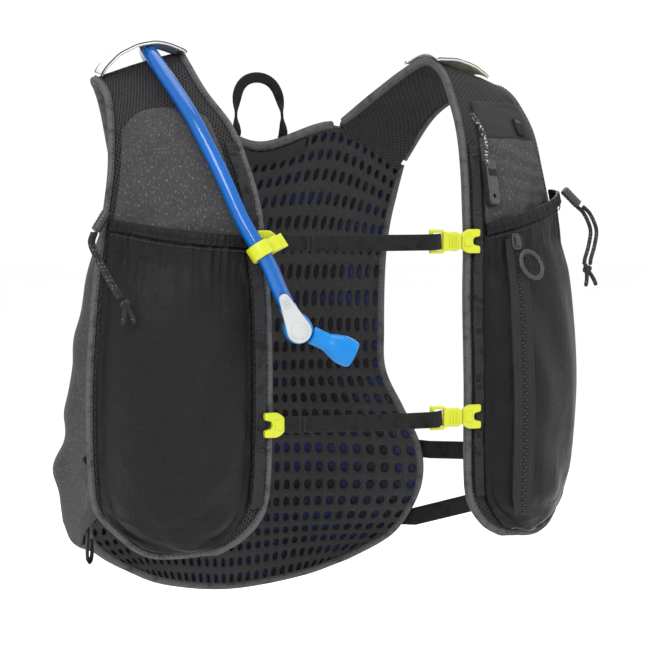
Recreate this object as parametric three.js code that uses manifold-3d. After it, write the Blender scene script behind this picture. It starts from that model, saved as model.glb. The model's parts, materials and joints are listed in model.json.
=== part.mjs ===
// Running hydration vest, as it is worn: a ventilated back with a hollow pack and a water bladder,
// two padded front panels that run over the shoulders, soft flask pockets, two chest straps,
// four side straps and a drinking tube with a bite valve.
// Millimetres, +Z up. The wearer faces -Y. The origin is where the vest sits, midway between
// the shoulders. "left" and "right" are as seen from the front, so right is +X.
import * as THREE from 'three';
import { mergeVertices } from 'three/addons/utils/BufferGeometryUtils.js';
import Module from 'manifold-3d';

// Body of the vest
const FRONT_DROP = 297;
const CHEST_HALF_WIDTH = 170;
const CHEST_DEPTH = 87;
const PANEL_BOW = 10;
const SHOULDER_HALF_WIDTH = 144;
const SHOULDER_DEPTH = 63;
const SHOULDER_RISE = 60;
const BACK_DROP = 350;
const BACK_HALF_WIDTH = 124;
const BACK_DEPTH = 112;

// Layers
const PAD_THICKNESS = 4;
const MESH_THICKNESS = 5;
const FABRIC_THICKNESS = 1.2;
const LAYER_GAP = 0.4;
const BINDING_WIDTH = 4.6;
const BINDING_PROUD = 0.5;
const SEAM_GAP = 1.4;

// Pack on the back
const PACK_HALF_WIDTH = 112;
const PACK_FACE_DEPTH = 162;
const PACK_CORNER = 8;
const PACK_TOP_DROP = 62;
const PACK_BOTTOM_RISE = 16;
const PACK_WALL = 1.6;
const BLADDER_MARGIN = 14;
const BLADDER_CLEARANCE = 2.6;
const BLADDER_SEAT = 3.5;
const HOSE_PORT_CLEARANCE = 1.2;

// Front panels
const CHEST_PANEL_TOP_DROP = 37;
const LADDER_TAPE_WIDTH = 6.4;
const LADDER_TAPE_TOP_DROP = 52;
const LADDER_TAPE_BOTTOM_DROP = 268;
const POCKET_BULGE = 24;
const POCKET_MARGIN = 1.2;
const HEM_HEIGHT = 7.5;
const HEM_THICKNESS = 3.2;
const FLAP_HEIGHT = 22;
const FLAP_THICKNESS = 1.8;

// Webbing and chest straps
const CHEST_STRAP_WIDTH = 10;
const CHEST_STRAP_THICKNESS = 1.3;
const UPPER_STRAP_DROP = 110;
const LOWER_STRAP_DROP = 218;
const CLASP_THICKNESS = 3.4;
const CLASP_HEIGHT = 15;
const HOOK_LENGTH = 13;
const BUCKLE_BODY_LENGTH = 12;
const BUCKLE_FRAME_LENGTH = 10;
const FRAME_BAR = 2;
const SIDE_STRAP_WIDTH = 12;
const SIDE_STRAP_THICKNESS = 1.4;
const SIDE_STRAP_PLACES = { upper: 0.64, lower: 0.82 };
const SIDE_STRAP_DROPS = { upper: 250, lower: 268 };
const SIDE_STRAP_BOW = 6;
const STRAP_TAIL_LENGTH = 17;
const STRAP_TAIL_PLACE = 0.55;
const TUBE_LOOP_WIDTH = 20;
const TUBE_LOOP_THICKNESS = 1.4;
const TUBE_LOOP_RISES = { left: 12.8, right: 4 };

// Grab loop and neck patch
const GRAB_LOOP_HEIGHT = 36;
const GRAB_LOOP_SPAN = 34;
const GRAB_LOOP_WIDTH = 7;
const GRAB_LOOP_THICKNESS = 1.8;
const PATCH_WIDTH = 62;
const PATCH_HEIGHT = 9;

// Drinking tube and bite valve
const HOSE_DIAMETER = 9.5;
const VALVE_DIAMETER = 17;
const VALVE_LENGTH = 15;
const VALVE_BORE = 6;
const STUB_DIAMETER = 10.5;
const STUB_LENGTH = 15;
const SPIGOT_LENGTH = 8;
const VALVE_BEND = 142;
const LEVER_LENGTH = 21;
const LEVER_THICKNESS = 3.2;
const LEVER_HUB_DIAMETER = 14.5;
const LEVER_TIP_DIAMETER = 6.4;
const SLEEVE_LENGTH = 29;
const SLEEVE_NECK_DIAMETER = 11;
const SLEEVE_FLARE_DIAMETER = 17.5;
const CLIP_HEIGHT = 9;
const CLIP_WALL = 2.2;
const CLIP_PLATE_LENGTH = 14;

// Small trim
const CORD_DIAMETER = 2.6;
const CORDLOCK_DIAMETER = 6;
const CORDLOCK_LENGTH = 14;
const KNOT_DIAMETER = 7;
const CORD_TAIL_LENGTH = 9;
const WHISTLE_LENGTH = 30;
const WHISTLE_WIDTH = 8;
const WHISTLE_DEPTH = 6;
const WHISTLE_HOLE_DIAMETER = 2.4;
const WHISTLE_INSET = 17.5;
const ZIP_WIDTH = 12;
const ZIP_THICKNESS = 1.6;
const ZIP_TOP_DROP = 114;
const ZIP_PLACE = 0.2;
const ZIP_LOW = 0.13;
const ZIP_SPAN = 0.53;
const SLIDER_LENGTH = 11;
const SLIDER_THICKNESS = 3;
const SLIDER_WIDTH = 7.2;
const PULL_LOOP_HEIGHT = 21;
const PULL_LOOP_WIDTH = 16;
const PULL_LOOP_DIAMETER = 3.2;
const PULL_TAB_LENGTH = 13;
const PULL_TAB_WIDTH = 9;
const PULL_TAB_PLACE = 0.68;

const X_AXIS = new THREE.Vector3(1, 0, 0);
const Y_AXIS = new THREE.Vector3(0, 1, 0);
const Z_AXIS = new THREE.Vector3(0, 0, 1);

// Front panel rungs from the bottom up, on the +X side. drop is a share of FRONT_DROP, inX and
// outX of CHEST_HALF_WIDTH, inY and outY of CHEST_DEPTH forward, bow of PANEL_BOW.
const FRONT_RUNGS = [
  { drop: 1.0, inX: 0.575, inY: 0.92, outX: 0.776, outY: 0.7, bow: 0.2 },
  { drop: 0.973, inX: 0.49, inY: 0.93, outX: 0.875, outY: 0.63, bow: 0.6 },
  { drop: 0.918, inX: 0.412, inY: 0.97, outX: 0.953, outY: 0.5, bow: 0.9 },
  { drop: 0.842, inX: 0.391, inY: 0.989, outX: 0.982, outY: 0.5, bow: 1.0 },
  { drop: 0.673, inX: 0.388, inY: 1.0, outX: 1.0, outY: 0.552, bow: 1.0 },
  { drop: 0.492, inX: 0.388, inY: 0.977, outX: 0.979, outY: 0.546, bow: 1.0 },
  { drop: 0.384, inX: 0.4, inY: 0.943, outX: 0.947, outY: 0.511, bow: 1.0 },
  { drop: 0.303, inX: 0.406, inY: 0.908, outX: 0.912, outY: 0.46, bow: 0.9 },
  { drop: 0.222, inX: 0.426, inY: 0.816, outX: 0.888, outY: 0.425, bow: 0.7 },
  { drop: 0.141, inX: 0.453, inY: 0.667, outX: 0.874, outY: 0.356, bow: 0.4 },
];

// Shoulder rungs from the front to the back seam. X columns are shares of SHOULDER_HALF_WIDTH,
// Y of SHOULDER_DEPTH, Z of SHOULDER_RISE and bow of PANEL_BOW.
const SHOULDER_RUNGS = [
  { inX: 0.583, inY: -0.571, inZ: -0.35, outX: 1.014, outY: -0.317, outZ: -0.42, bow: 0.2 },
  { inX: 0.604, inY: -0.27, inZ: -0.04, outX: 1.007, outY: -0.143, outZ: -0.28, bow: 0.1 },
  { inX: 0.583, inY: -0.016, inZ: 0.09, outX: 1.0, outY: 0.048, outZ: -0.22, bow: 0.1 },
  { inX: 0.521, inY: 0.206, inZ: -0.05, outX: 0.972, outY: 0.27, outZ: -0.22, bow: 0.1 },
  { inX: 0.458, inY: 0.429, inZ: -0.24, outX: 0.917, outY: 0.492, outZ: -0.28, bow: 0.1 },
  { inX: 0.41, inY: 0.635, inZ: -0.4, outX: 0.84, outY: 0.746, outZ: -0.5, bow: 0.1 },
];

// Back rows from the neck down: the middle, a point between, and the edge. Each is an X as a share
// of BACK_HALF_WIDTH, a Y as a share of BACK_DEPTH and a drop as a share of BACK_DROP.
const BACK_ROWS = [
  { middle: [0, 0.563, 0.134], between: [0.419, 0.464, 0.094], edge: [0.871, 0.563, 0.171] },
  { middle: [0, 0.679, 0.194], between: [0.427, 0.58, 0.171], edge: [0.831, 0.58, 0.229] },
  { middle: [0, 0.804, 0.277], between: [0.427, 0.732, 0.271], edge: [0.806, 0.625, 0.294] },
  { middle: [0, 0.902, 0.377], between: [0.427, 0.848, 0.377], edge: [0.794, 0.661, 0.377] },
  { middle: [0, 0.96, 0.491], between: [0.427, 0.902, 0.491], edge: [0.79, 0.67, 0.491] },
  { middle: [0, 0.982, 0.577], between: [0.427, 0.924, 0.574], edge: [0.798, 0.665, 0.571] },
  { middle: [0, 0.991, 0.646], between: [0.444, 0.929, 0.646], edge: [0.887, 0.607, 0.649] },
  { middle: [0, 1.0, 0.72], between: [0.468, 0.938, 0.72], edge: [0.976, 0.571, 0.726] },
  { middle: [0, 1.0, 0.8], between: [0.468, 0.938, 0.8], edge: [0.992, 0.598, 0.8] },
  { middle: [0, 1.0, 0.871], between: [0.452, 0.933, 0.869], edge: [0.952, 0.705, 0.866] },
  { middle: [0, 1.0, 0.931], between: [0.435, 0.929, 0.917], edge: [0.839, 0.75, 0.909] },
  { middle: [0, 1.0, 1.0], between: [0.387, 0.92, 0.98], edge: [0.645, 0.839, 0.949] },
];
const NECK_SHARE = 0.75;

// Pack sections: place along the back, half width as a share of PACK_HALF_WIDTH and depth as a
// share of the full depth behind the back sheet.
const PACK_SECTIONS = [
  { along: 0.0, width: 0.625, depth: 0.0 },
  { along: 0.05, width: 0.68, depth: 0.45 },
  { along: 0.16, width: 0.757, depth: 0.78 },
  { along: 0.35, width: 0.852, depth: 0.93 },
  { along: 0.58, width: 0.92, depth: 1.0 },
  { along: 0.7, width: 1.0, depth: 1.0 },
  { along: 0.84, width: 0.99, depth: 0.98 },
  { along: 0.93, width: 0.918, depth: 0.88 },
  { along: 0.98, width: 0.852, depth: 0.58 },
  { along: 1.0, width: 0.795, depth: 0.0 },
];

// Pocket fullness: how far the wall stands off the panel, as shares of POCKET_BULGE, at heights
// that are shares of the pocket's own height from its lowest point.
const POCKET_FULLNESS = [
  { height: 0.0, lift: 0.0 },
  { height: 0.05, lift: 0.42 },
  { height: 0.2, lift: 0.82 },
  { height: 0.45, lift: 1.0 },
  { height: 0.75, lift: 0.86 },
  { height: 1.0, lift: 0.45 },
];

// Pocket mouths: drops of the hem at the inner edge, the middle and the outer edge.
// flare is how much further the mouth gapes at its outer corner.
const MOUTHS = {
  left: { inner: 113, middle: 111, outer: 104, flare: 2 },
  right: { inner: 107, middle: 99, outer: 86, flare: 10 },
};

// Routes of the free cords, chosen by hand.
const HOSE_ROUTE = [
  [-50, 107, -98], [-52, 103, -86], [-54, 97, -72], [-57, 88, -59], [-62, 76, -46], [-69, 63.5, -31],
  [-78, 49, -15.5], [-88.6, 33.3, -3.6], [-100.3, 18, 5.6], [-108.6, 2.8, 10.6], [-113, -14.5, 5.4],
  [-112, -29.8, -5.6], [-109, -45, -19.2], [-105.7, -60.2, -34.2], [-100.9, -71.6, -51.5],
  [-95.5, -81.5, -70], [-88, -92, -95], [-80.5, -100.5, -113], [-76, -103, -121], [-70, -105, -136],
  [-65, -105.5, -146],
];
const DRAWCORD_ROUTES = {
  left: [
    [-167.5, -56, -103], [-170, -58, -109], [-168.5, -62.5, -117], [-164.8, -69, -128],
    [-160.8, -74.8, -138], [-159, -76.8, -141.5],
  ],
  right: [
    [165, -66, -88], [170, -67, -93], [173.5, -69, -103], [169, -74, -113], [162.5, -80, -121],
    [160, -83, -124.5],
  ],
};
const LANYARD_ROUTE = [
  [87, -61, -29], [88, -64.5, -33], [89.5, -70, -40], [89.5, -75, -48], [87.5, -79, -56], [86.5, -81.5, -61],
];

const VALVE_FACE = new THREE.Vector3(-0.42, -0.9, 0.05);

const wasm = await Module();
wasm.setup();

const FINISH = {
  mesh: finish(0x17181a, 0.9, 0),
  binding: finish(0x5c5e61, 0.85, 0),
  ripstop: finish(0x1c1c1e, 0.6, 0),
  heather: finish(0x454446, 0.9, 0),
  webbing: finish(0x141416, 0.8, 0),
  reflective: finish(0xd9dcd8, 0.35, 0),
  yellow: finish(0xdfe021, 0.45, 0),
  hose: finish(0x0a7fd6, 0.15, 0),
  valve: finish(0x2b9be6, 0.25, 0),
  lever: finish(0xdddfe1, 0.4, 0),
  bladder: finish(0x1e57c8, 0.3, 0),
  trim: finish(0x2b2b2e, 0.5, 0),
  flap: finish(0x343438, 0.75, 0),
};

const vest = new THREE.Group();
let backSlab;
let padSlab;

function finish(color, roughness, metalness) {
  return new THREE.MeshStandardMaterial({ color, roughness, metalness });
}

// Smooth value between equally spaced samples.
function spline(before, start, end, after, t) {
  const a = -0.5 * before + 1.5 * start - 1.5 * end + 0.5 * after;
  const b = before - 2.5 * start + 2 * end - 0.5 * after;
  const c = -0.5 * before + 0.5 * end;
  return ((a * t + b) * t + c) * t + start;
}

function splinePoint(points, share) {
  const last = points.length - 1;
  const place = THREE.MathUtils.clamp(share, 0, 1) * last;
  const index = Math.min(Math.floor(place), last - 1);
  const start = points[index];
  const end = points[index + 1];
  const before = index > 0 ? points[index - 1] : start.clone().multiplyScalar(2).sub(end);
  const after = index + 2 <= last ? points[index + 2] : end.clone().multiplyScalar(2).sub(start);
  const t = place - index;
  return new THREE.Vector3(
    spline(before.x, start.x, end.x, after.x, t),
    spline(before.y, start.y, end.y, after.y, t),
    spline(before.z, start.z, end.z, after.z, t),
  );
}

// Straight-line reading of a table at a key.
function readTable(rows, key, column, place) {
  let row = 1;
  while (row < rows.length - 1 && rows[row][key] < place) row += 1;
  const low = rows[row - 1];
  const high = rows[row];
  const t = THREE.MathUtils.clamp((place - low[key]) / (high[key] - low[key]), 0, 1);
  return THREE.MathUtils.lerp(low[column], high[column], t);
}

// A smooth sheet through rows of points: u runs across, v along.
class Net {
  constructor(rows) {
    this.rows = rows;
  }

  at(u, v) {
    const column = this.rows.map((row) => splinePoint(row, u));
    return splinePoint(column, v);
  }

  slopeAcross(u, v) {
    const step = 0.004;
    const low = Math.max(u - step, 0);
    const high = Math.min(u + step, 1);
    return this.at(high, v).sub(this.at(low, v)).divideScalar(high - low);
  }

  slopeAlong(u, v) {
    const step = 0.004;
    const low = Math.max(v - step, 0);
    const high = Math.min(v + step, 1);
    return this.at(u, high).sub(this.at(u, low)).divideScalar(high - low);
  }

  normal(u, v) {
    return this.slopeAcross(u, v).cross(this.slopeAlong(u, v)).normalize();
  }

  // Point lifted off the sheet.
  lifted(u, v, lift) {
    return this.at(u, v).addScaledVector(this.normal(u, v), lift);
  }

  // Place along the sheet where it reaches a drop, between two limits.
  alongAtDrop(u, drop, low, high) {
    let start = low;
    let end = high;
    for (let turn = 0; turn < 30; turn += 1) {
      const middle = (start + end) / 2;
      if (this.at(u, middle).z < -drop === this.at(u, start).z < -drop) start = middle;
      else end = middle;
    }
    return (start + end) / 2;
  }

  // Place across the sheet where it reaches an X.
  acrossAtX(x, v) {
    let start = 0.5;
    let end = 1;
    for (let turn = 0; turn < 26; turn += 1) {
      const middle = (start + end) / 2;
      if (this.at(middle, v).x < x) start = middle;
      else end = middle;
    }
    return (start + end) / 2;
  }

  // Steps across and along that move a point by a vector that lies in the sheet.
  stepsFor(u, v, move) {
    const across = this.slopeAcross(u, v);
    const along = this.slopeAlong(u, v);
    const aa = across.dot(across);
    const bb = along.dot(along);
    const ab = across.dot(along);
    const am = across.dot(move);
    const bm = along.dot(move);
    const scale = 1 / (aa * bb - ab * ab);
    return { u: (am * bb - bm * ab) * scale, v: (bm * aa - am * ab) * scale };
  }
}

function backNet() {
  const point = ([x, y, drop], side) => new THREE.Vector3(
    side * x * BACK_HALF_WIDTH, y * BACK_DEPTH, -drop * BACK_DROP);
  return new Net(BACK_ROWS.map(({ middle, between, edge }) => [
    point(edge, -1), point(between, -1), point(middle, 1), point(between, 1), point(edge, 1),
  ]));
}

function bowed(inner, outer, outward, bow) {
  const middle = inner.clone().add(outer).multiplyScalar(0.5);
  middle.addScaledVector(outward, bow * PANEL_BOW);
  return [inner, middle, outer];
}

// Front panel and shoulder on the +X side, from the bottom to the seam with the back.
function frontNet(back) {
  const rows = FRONT_RUNGS.map((rung) => {
    const z = -rung.drop * FRONT_DROP;
    const inner = new THREE.Vector3(rung.inX * CHEST_HALF_WIDTH, -rung.inY * CHEST_DEPTH, z);
    const outer = new THREE.Vector3(rung.outX * CHEST_HALF_WIDTH, -rung.outY * CHEST_DEPTH, z);
    const outward = outer.clone().sub(inner).cross(Z_AXIS).normalize();
    return bowed(inner, outer, outward, rung.bow);
  });
  for (const rung of SHOULDER_RUNGS) {
    const inner = new THREE.Vector3(
      rung.inX * SHOULDER_HALF_WIDTH, rung.inY * SHOULDER_DEPTH, rung.inZ * SHOULDER_RISE);
    const outer = new THREE.Vector3(
      rung.outX * SHOULDER_HALF_WIDTH, rung.outY * SHOULDER_DEPTH, rung.outZ * SHOULDER_RISE);
    rows.push(bowed(inner, outer, Z_AXIS, rung.bow));
  }
  rows.push([back.at(NECK_SHARE, 0), back.at((NECK_SHARE + 1) / 2, 0), back.at(1, 0)]);
  return new Net(rows);
}

const back = backNet();
const front = frontNet(back);
const FRONT_TOP = (FRONT_RUNGS.length - 1) / (FRONT_RUNGS.length + SHOULDER_RUNGS.length);

// Turns a list of triangles over points into a closed body with its faces out.
function body(points, faces) {
  const geometry = new THREE.BufferGeometry();
  const positions = points.flatMap((point) => [point.x, point.y, point.z]);
  geometry.setAttribute('position', new THREE.Float32BufferAttribute(positions, 3));
  let volume = 0;
  for (const [a, b, c] of faces) {
    volume += points[a].dot(points[b].clone().cross(points[c]));
  }
  const turned = volume < 0 ? faces.map(([a, b, c]) => [a, c, b]) : faces;
  geometry.setIndex(turned.flat());
  return geometry;
}

// Closed body between two grids of points that share their rows and columns.
function betweenGrids(across, along, lower, upper) {
  const points = [];
  for (const grid of [lower, upper]) {
    for (let j = 0; j <= along; j += 1) {
      for (let i = 0; i <= across; i += 1) points.push(grid(i / across, j / along));
    }
  }
  const size = (across + 1) * (along + 1);
  const spot = (i, j, side) => side * size + j * (across + 1) + i;
  const faces = [];
  const quad = (a, b, c, d) => faces.push([a, b, c], [a, c, d]);
  for (let j = 0; j < along; j += 1) {
    for (let i = 0; i < across; i += 1) {
      quad(spot(i, j, 1), spot(i + 1, j, 1), spot(i + 1, j + 1, 1), spot(i, j + 1, 1));
      quad(spot(i, j, 0), spot(i, j + 1, 0), spot(i + 1, j + 1, 0), spot(i + 1, j, 0));
    }
  }
  for (let i = 0; i < across; i += 1) {
    quad(spot(i, 0, 0), spot(i + 1, 0, 0), spot(i + 1, 0, 1), spot(i, 0, 1));
    quad(spot(i, along, 1), spot(i + 1, along, 1), spot(i + 1, along, 0), spot(i, along, 0));
  }
  for (let j = 0; j < along; j += 1) {
    quad(spot(0, j, 1), spot(0, j + 1, 1), spot(0, j + 1, 0), spot(0, j, 0));
    quad(spot(across, j, 0), spot(across, j + 1, 0), spot(across, j + 1, 1), spot(across, j, 1));
  }
  return body(points, faces);
}

// Sweeps a convex section through stations. A station has its point, its side direction for the
// section's first number and its face direction for the second.
function sweep(stations, section, closed = false) {
  const points = [];
  for (const station of stations) {
    for (const [aside, off] of section) {
      const point = station.at.clone().addScaledVector(station.side, aside);
      points.push(point.addScaledVector(station.face, off));
    }
  }
  const ring = section.length;
  const count = stations.length;
  const spans = closed ? count : count - 1;
  const faces = [];
  for (let s = 0; s < spans; s += 1) {
    const here = s * ring;
    const next = ((s + 1) % count) * ring;
    for (let k = 0; k < ring; k += 1) {
      const k2 = (k + 1) % ring;
      faces.push([here + k, here + k2, next + k2], [here + k, next + k2, next + k]);
    }
  }
  if (!closed) {
    const last = (count - 1) * ring;
    for (let k = 1; k < ring - 1; k += 1) {
      faces.push([0, k + 1, k], [last, last + k, last + k + 1]);
    }
  }
  return body(points, faces);
}

function ringSection(radius, sides) {
  return Array.from({ length: sides }, (_, k) => {
    const angle = (2 * Math.PI * k) / sides;
    return [radius * Math.cos(angle), radius * Math.sin(angle)];
  });
}

function flatSection(width, thickness) {
  return [
    [-width / 2, -thickness / 2], [width / 2, -thickness / 2],
    [width / 2, thickness / 2], [-width / 2, thickness / 2],
  ];
}

function positionOnly(geometry) {
  const plain = geometry.index ? geometry.toNonIndexed() : geometry.clone();
  plain.deleteAttribute('normal');
  plain.deleteAttribute('uv');
  return mergeVertices(plain, 1e-4);
}

// Tube along a smooth path.
function tube(points, diameter, sides, steps) {
  const path = new THREE.CatmullRomCurve3(points.map((point) => new THREE.Vector3(...point)));
  const outline = new THREE.Shape(
    ringSection(diameter / 2, sides).map(([x, y]) => new THREE.Vector2(x, y)));
  return positionOnly(new THREE.ExtrudeGeometry(outline, { steps, extrudePath: path }));
}

function mirrored(geometry) {
  const copy = geometry.clone();
  copy.scale(-1, 1, 1);
  const index = copy.index.array;
  for (let k = 0; k < index.length; k += 3) {
    const swap = index[k + 1];
    index[k + 1] = index[k + 2];
    index[k + 2] = swap;
  }
  return copy;
}

function toSolid(geometry) {
  const plain = positionOnly(geometry);
  const vertProperties = Float32Array.from(plain.attributes.position.array);
  const triVerts = Uint32Array.from(plain.index.array);
  return new wasm.Manifold(new wasm.Mesh({ numProp: 3, vertProperties, triVerts }));
}

function fromSolid(solid) {
  const mesh = solid.getMesh();
  const geometry = new THREE.BufferGeometry();
  geometry.setAttribute('position', new THREE.BufferAttribute(mesh.vertProperties, 3));
  geometry.setIndex(new THREE.BufferAttribute(mesh.triVerts, 1));
  return geometry;
}

function joined(...parts) {
  return fromSolid(parts.map(toSolid).reduce((sum, part) => sum.add(part)));
}

// Cuts tools out of a base and keeps its main piece, without the slivers that a cut can leave.
function cutBy(base, ...tools) {
  const rest = tools.map(toSolid).reduce((left, tool) => left.subtract(tool), toSolid(base));
  const pieces = rest.decompose();
  return fromSolid(pieces.reduce((main, piece) => (piece.volume() > main.volume() ? piece : main)));
}

function add(name, geometry, material) {
  const mesh = new THREE.Mesh(geometry, material);
  mesh.name = name;
  vest.add(mesh);
  return mesh;
}

// Places a mesh by its own X axis and its face direction.
function place(mesh, at, along, face) {
  const x = along.clone().normalize();
  const z = face.clone().addScaledVector(x, -face.dot(x)).normalize();
  const y = z.clone().cross(x);
  mesh.position.copy(at);
  mesh.quaternion.setFromRotationMatrix(new THREE.Matrix4().makeBasis(x, y, z));
  return mesh;
}

function plate(outline, thickness, holes = []) {
  const shape = new THREE.Shape(outline.map(([x, y]) => new THREE.Vector2(x, y)));
  for (const hole of holes) {
    shape.holes.push(new THREE.Path(hole.map(([x, y]) => new THREE.Vector2(x, y))));
  }
  return positionOnly(new THREE.ExtrudeGeometry(shape, { depth: thickness, bevelEnabled: false }));
}

function rectangle(x0, y0, x1, y1) {
  return [[x0, y0], [x1, y0], [x1, y1], [x0, y1]];
}

// The edge of a net as a list of places: down one side, along the far row and back up.
function edgeTrail(steps, corner, from, to) {
  const trail = [];
  for (let k = 0; k <= steps; k += 1) trail.push({ u: 0, v: from + ((to - from) * k) / steps });
  for (let k = 1; k < corner; k += 1) trail.push({ u: k / corner, v: to });
  for (let k = steps; k >= 0; k -= 1) trail.push({ u: 1, v: from + ((to - from) * k) / steps });
  return trail;
}

// Frames along a trail: the point, the way into the sheet and the way off it.
function trailFrames(net, trail, turn) {
  const points = trail.map(({ u, v }) => net.at(u, v));
  return trail.map(({ u, v }, k) => {
    const ahead = points[Math.min(k + 1, points.length - 1)];
    const behind = points[Math.max(k - 1, 0)];
    const tangent = ahead.clone().sub(behind).normalize();
    const face = net.normal(u, v).multiplyScalar(turn);
    const side = face.clone().cross(tangent).normalize();
    return { at: points[k], side, face, u, v };
  });
}

// Places set in from the edge of a net, for a sheet that stops short of its binding.
class Inset {
  constructor(net, from, to, turn, margins) {
    this.net = net;
    this.from = from;
    this.to = to;
    this.turn = turn;
    this.margins = margins;
  }

  // The place for a share across and a share along, from the far row back to the start.
  spot(a, b) {
    const v = this.to + (this.from - this.to) * b;
    const left = this.shift(0, v, this.margins.start);
    const right = this.shift(1, v, this.margins.end);
    if (b === 0) return this.shift(a, v, this.margins.far);
    return {
      u: THREE.MathUtils.lerp(left.u, right.u, a),
      v: THREE.MathUtils.lerp(left.v, right.v, a),
    };
  }

  shift(u, v, margin) {
    const step = 0.02;
    const far = Math.abs(v - this.to) < 1e-9;
    const toward = Math.sign(this.to - this.from);
    let ahead;
    let behind;
    if (far) {
      behind = u < step ? this.net.at(0, v - toward * step) : this.net.at(u - step, v);
      ahead = u > 1 - step ? this.net.at(1, v - toward * step) : this.net.at(u + step, v);
    } else {
      const sign = u === 0 ? toward : -toward;
      behind = this.net.at(u, THREE.MathUtils.clamp(v - sign * step, 0, 1));
      ahead = this.net.at(u, THREE.MathUtils.clamp(v + sign * step, 0, 1));
    }
    const tangent = ahead.sub(behind).normalize();
    const face = this.net.normal(u, v).multiplyScalar(this.turn);
    const inward = face.cross(tangent).normalize().multiplyScalar(margin);
    const steps = this.net.stepsFor(u, v, inward);
    return { u: u + steps.u, v: v + steps.v };
  }
}

const EDGE = BINDING_WIDTH + 2 * LAYER_GAP;
const FRONT_END = 1 - SEAM_GAP / front.slopeAlong(0.5, 1).length();
const PAD_FACE = PAD_THICKNESS + 1.5 * LAYER_GAP;
const PANEL_FACE = PAD_FACE + FABRIC_THICKNESS;
const TAPE_INSET = EDGE + LADDER_TAPE_WIDTH + POCKET_MARGIN;

// Share of the panel's width that a length in millimetres takes up at a height.
function acrossShare(net, v, length) {
  return length / net.at(0, v).distanceTo(net.at(1, v));
}

function frontAlong(u, drop) {
  return front.alongAtDrop(u, drop, 0, FRONT_TOP + 0.1);
}

function buildBack() {
  const inset = new Inset(back, 0, 1, -1, { start: EDGE + LAYER_GAP, end: EDGE + LAYER_GAP, far: EDGE });
  const spot = (a, b) => {
    const found = inset.spot(a, 1 - b);
    if (b > 0) return found;
    const neck = Math.abs(found.u - 0.5) < NECK_SHARE - 0.5 + 0.02;
    const drop = neck ? EDGE + 2 * LAYER_GAP : LAYER_GAP;
    return { u: found.u, v: drop / back.slopeAlong(found.u, 0).length() };
  };
  const grid = (lift) => (a, b) => {
    const { u, v } = spot(a, b);
    return back.lifted(u, v, lift);
  };
  add('back_mesh', betweenGrids(12, 16, grid(0), grid(MESH_THICKNESS)), FINISH.mesh);
  const clearance = (a, b) => back.lifted(a, b, MESH_THICKNESS + BINDING_PROUD + LAYER_GAP);
  backSlab = betweenGrids(12, 16, (a, b) => back.lifted(a, b, -1), clearance);

  const section = bindingSection(MESH_THICKNESS, -1);
  const skip = 0.004;
  const rim = trailFrames(back, edgeTrail(14, 12, skip, 1), -1);
  add('back_binding', sweep(rim, section), FINISH.binding);
  const neckTrail = [];
  const neckSteps = 10;
  const neckSkip = 0.025;
  for (let k = 0; k <= neckSteps; k += 1) {
    const u = 1 - NECK_SHARE + neckSkip + ((2 * NECK_SHARE - 1 - 2 * neckSkip) * k) / neckSteps;
    neckTrail.push({ u: 1 - u, v: 0 });
  }
  add('neck_binding', sweep(trailFrames(back, neckTrail, -1), section), FINISH.binding);
}

// Section of an edge binding: from the edge inward, standing a little proud of its sheet.
function bindingSection(thickness, turn) {
  const low = -BINDING_PROUD;
  const high = thickness + BINDING_PROUD;
  return [
    [0, (turn * (low + high)) / 2], [1, turn * low], [BINDING_WIDTH, turn * low],
    [BINDING_WIDTH, turn * high], [1, turn * high],
  ];
}

// A point of the pack's skin. inward is how far inside the outer skin it lies.
function packPoint(a, b, inward) {
  const half = PACK_HALF_WIDTH * readTable(PACK_SECTIONS, 'along', 'width', b);
  const top = back.alongAtDrop(0.5, PACK_TOP_DROP + inward, 0, 1);
  const bottom = back.alongAtDrop(0.5, BACK_DROP - PACK_BOTTOM_RISE - inward, 0, 1);
  const v = THREE.MathUtils.lerp(top, bottom, b);
  const x = Math.abs(a) * (half - inward);
  const share = back.acrossAtX(x, v);
  const u = a < 0 ? 1 - share : share;
  const root = back.lifted(u, v, MESH_THICKNESS - PACK_WALL);
  const rounded = (1 - Math.abs(a) ** PACK_CORNER) ** 0.25;
  const depth = readTable(PACK_SECTIONS, 'along', 'depth', b) * rounded;
  const reach = Math.max(PACK_FACE_DEPTH - inward - root.y, 0);
  return root.add(new THREE.Vector3(0, reach * depth, 0));
}

// Columns across the pack, close together at the corners.
const PACK_COLUMNS = [-1, -0.995, -0.96, -0.86, -0.6, -0.2, 0.2, 0.6, 0.86, 0.96, 0.995, 1];

function packGrid(inward) {
  const last = PACK_COLUMNS.length - 1;
  return (a, b) => packPoint(PACK_COLUMNS[Math.round(a * last)], packRow(b), inward);
}

function packRow(b) {
  return PACK_SECTIONS[Math.round(b * (PACK_SECTIONS.length - 1))].along;
}

function buildPack() {
  const across = PACK_COLUMNS.length - 1;
  const along = PACK_SECTIONS.length - 1;
  const shell = betweenGrids(across, along, packGrid(PACK_WALL), packGrid(0));
  const passage = tube(HOSE_ROUTE, HOSE_DIAMETER + 2 * HOSE_PORT_CLEARANCE, 10, 40);
  add('back_shell', cutBy(shell, passage, backSlab), FINISH.heather);

  const skin = PACK_WALL + BLADDER_CLEARANCE;
  const rear = (a, b) => packPoint(bladderColumn(a), bladderRow(b), skin);
  const lining = (a, b) => {
    const outer = rear(a, b);
    const v = back.alongAtDrop(0.5, -outer.z, 0, 1);
    const u = back.acrossAtX(Math.abs(outer.x), v);
    const front = back.lifted(u, v, MESH_THICKNESS + BLADDER_SEAT).y;
    return outer.setY(Math.min(front, outer.y - BLADDER_CLEARANCE));
  };
  add('reservoir', betweenGrids(8, 8, lining, rear), FINISH.bladder);
}

function bladderColumn(a) {
  return (2 * a - 1) * (1 - BLADDER_MARGIN / PACK_HALF_WIDTH);
}

function bladderRow(b) {
  return THREE.MathUtils.lerp(0.16, 0.93, b);
}

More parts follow.
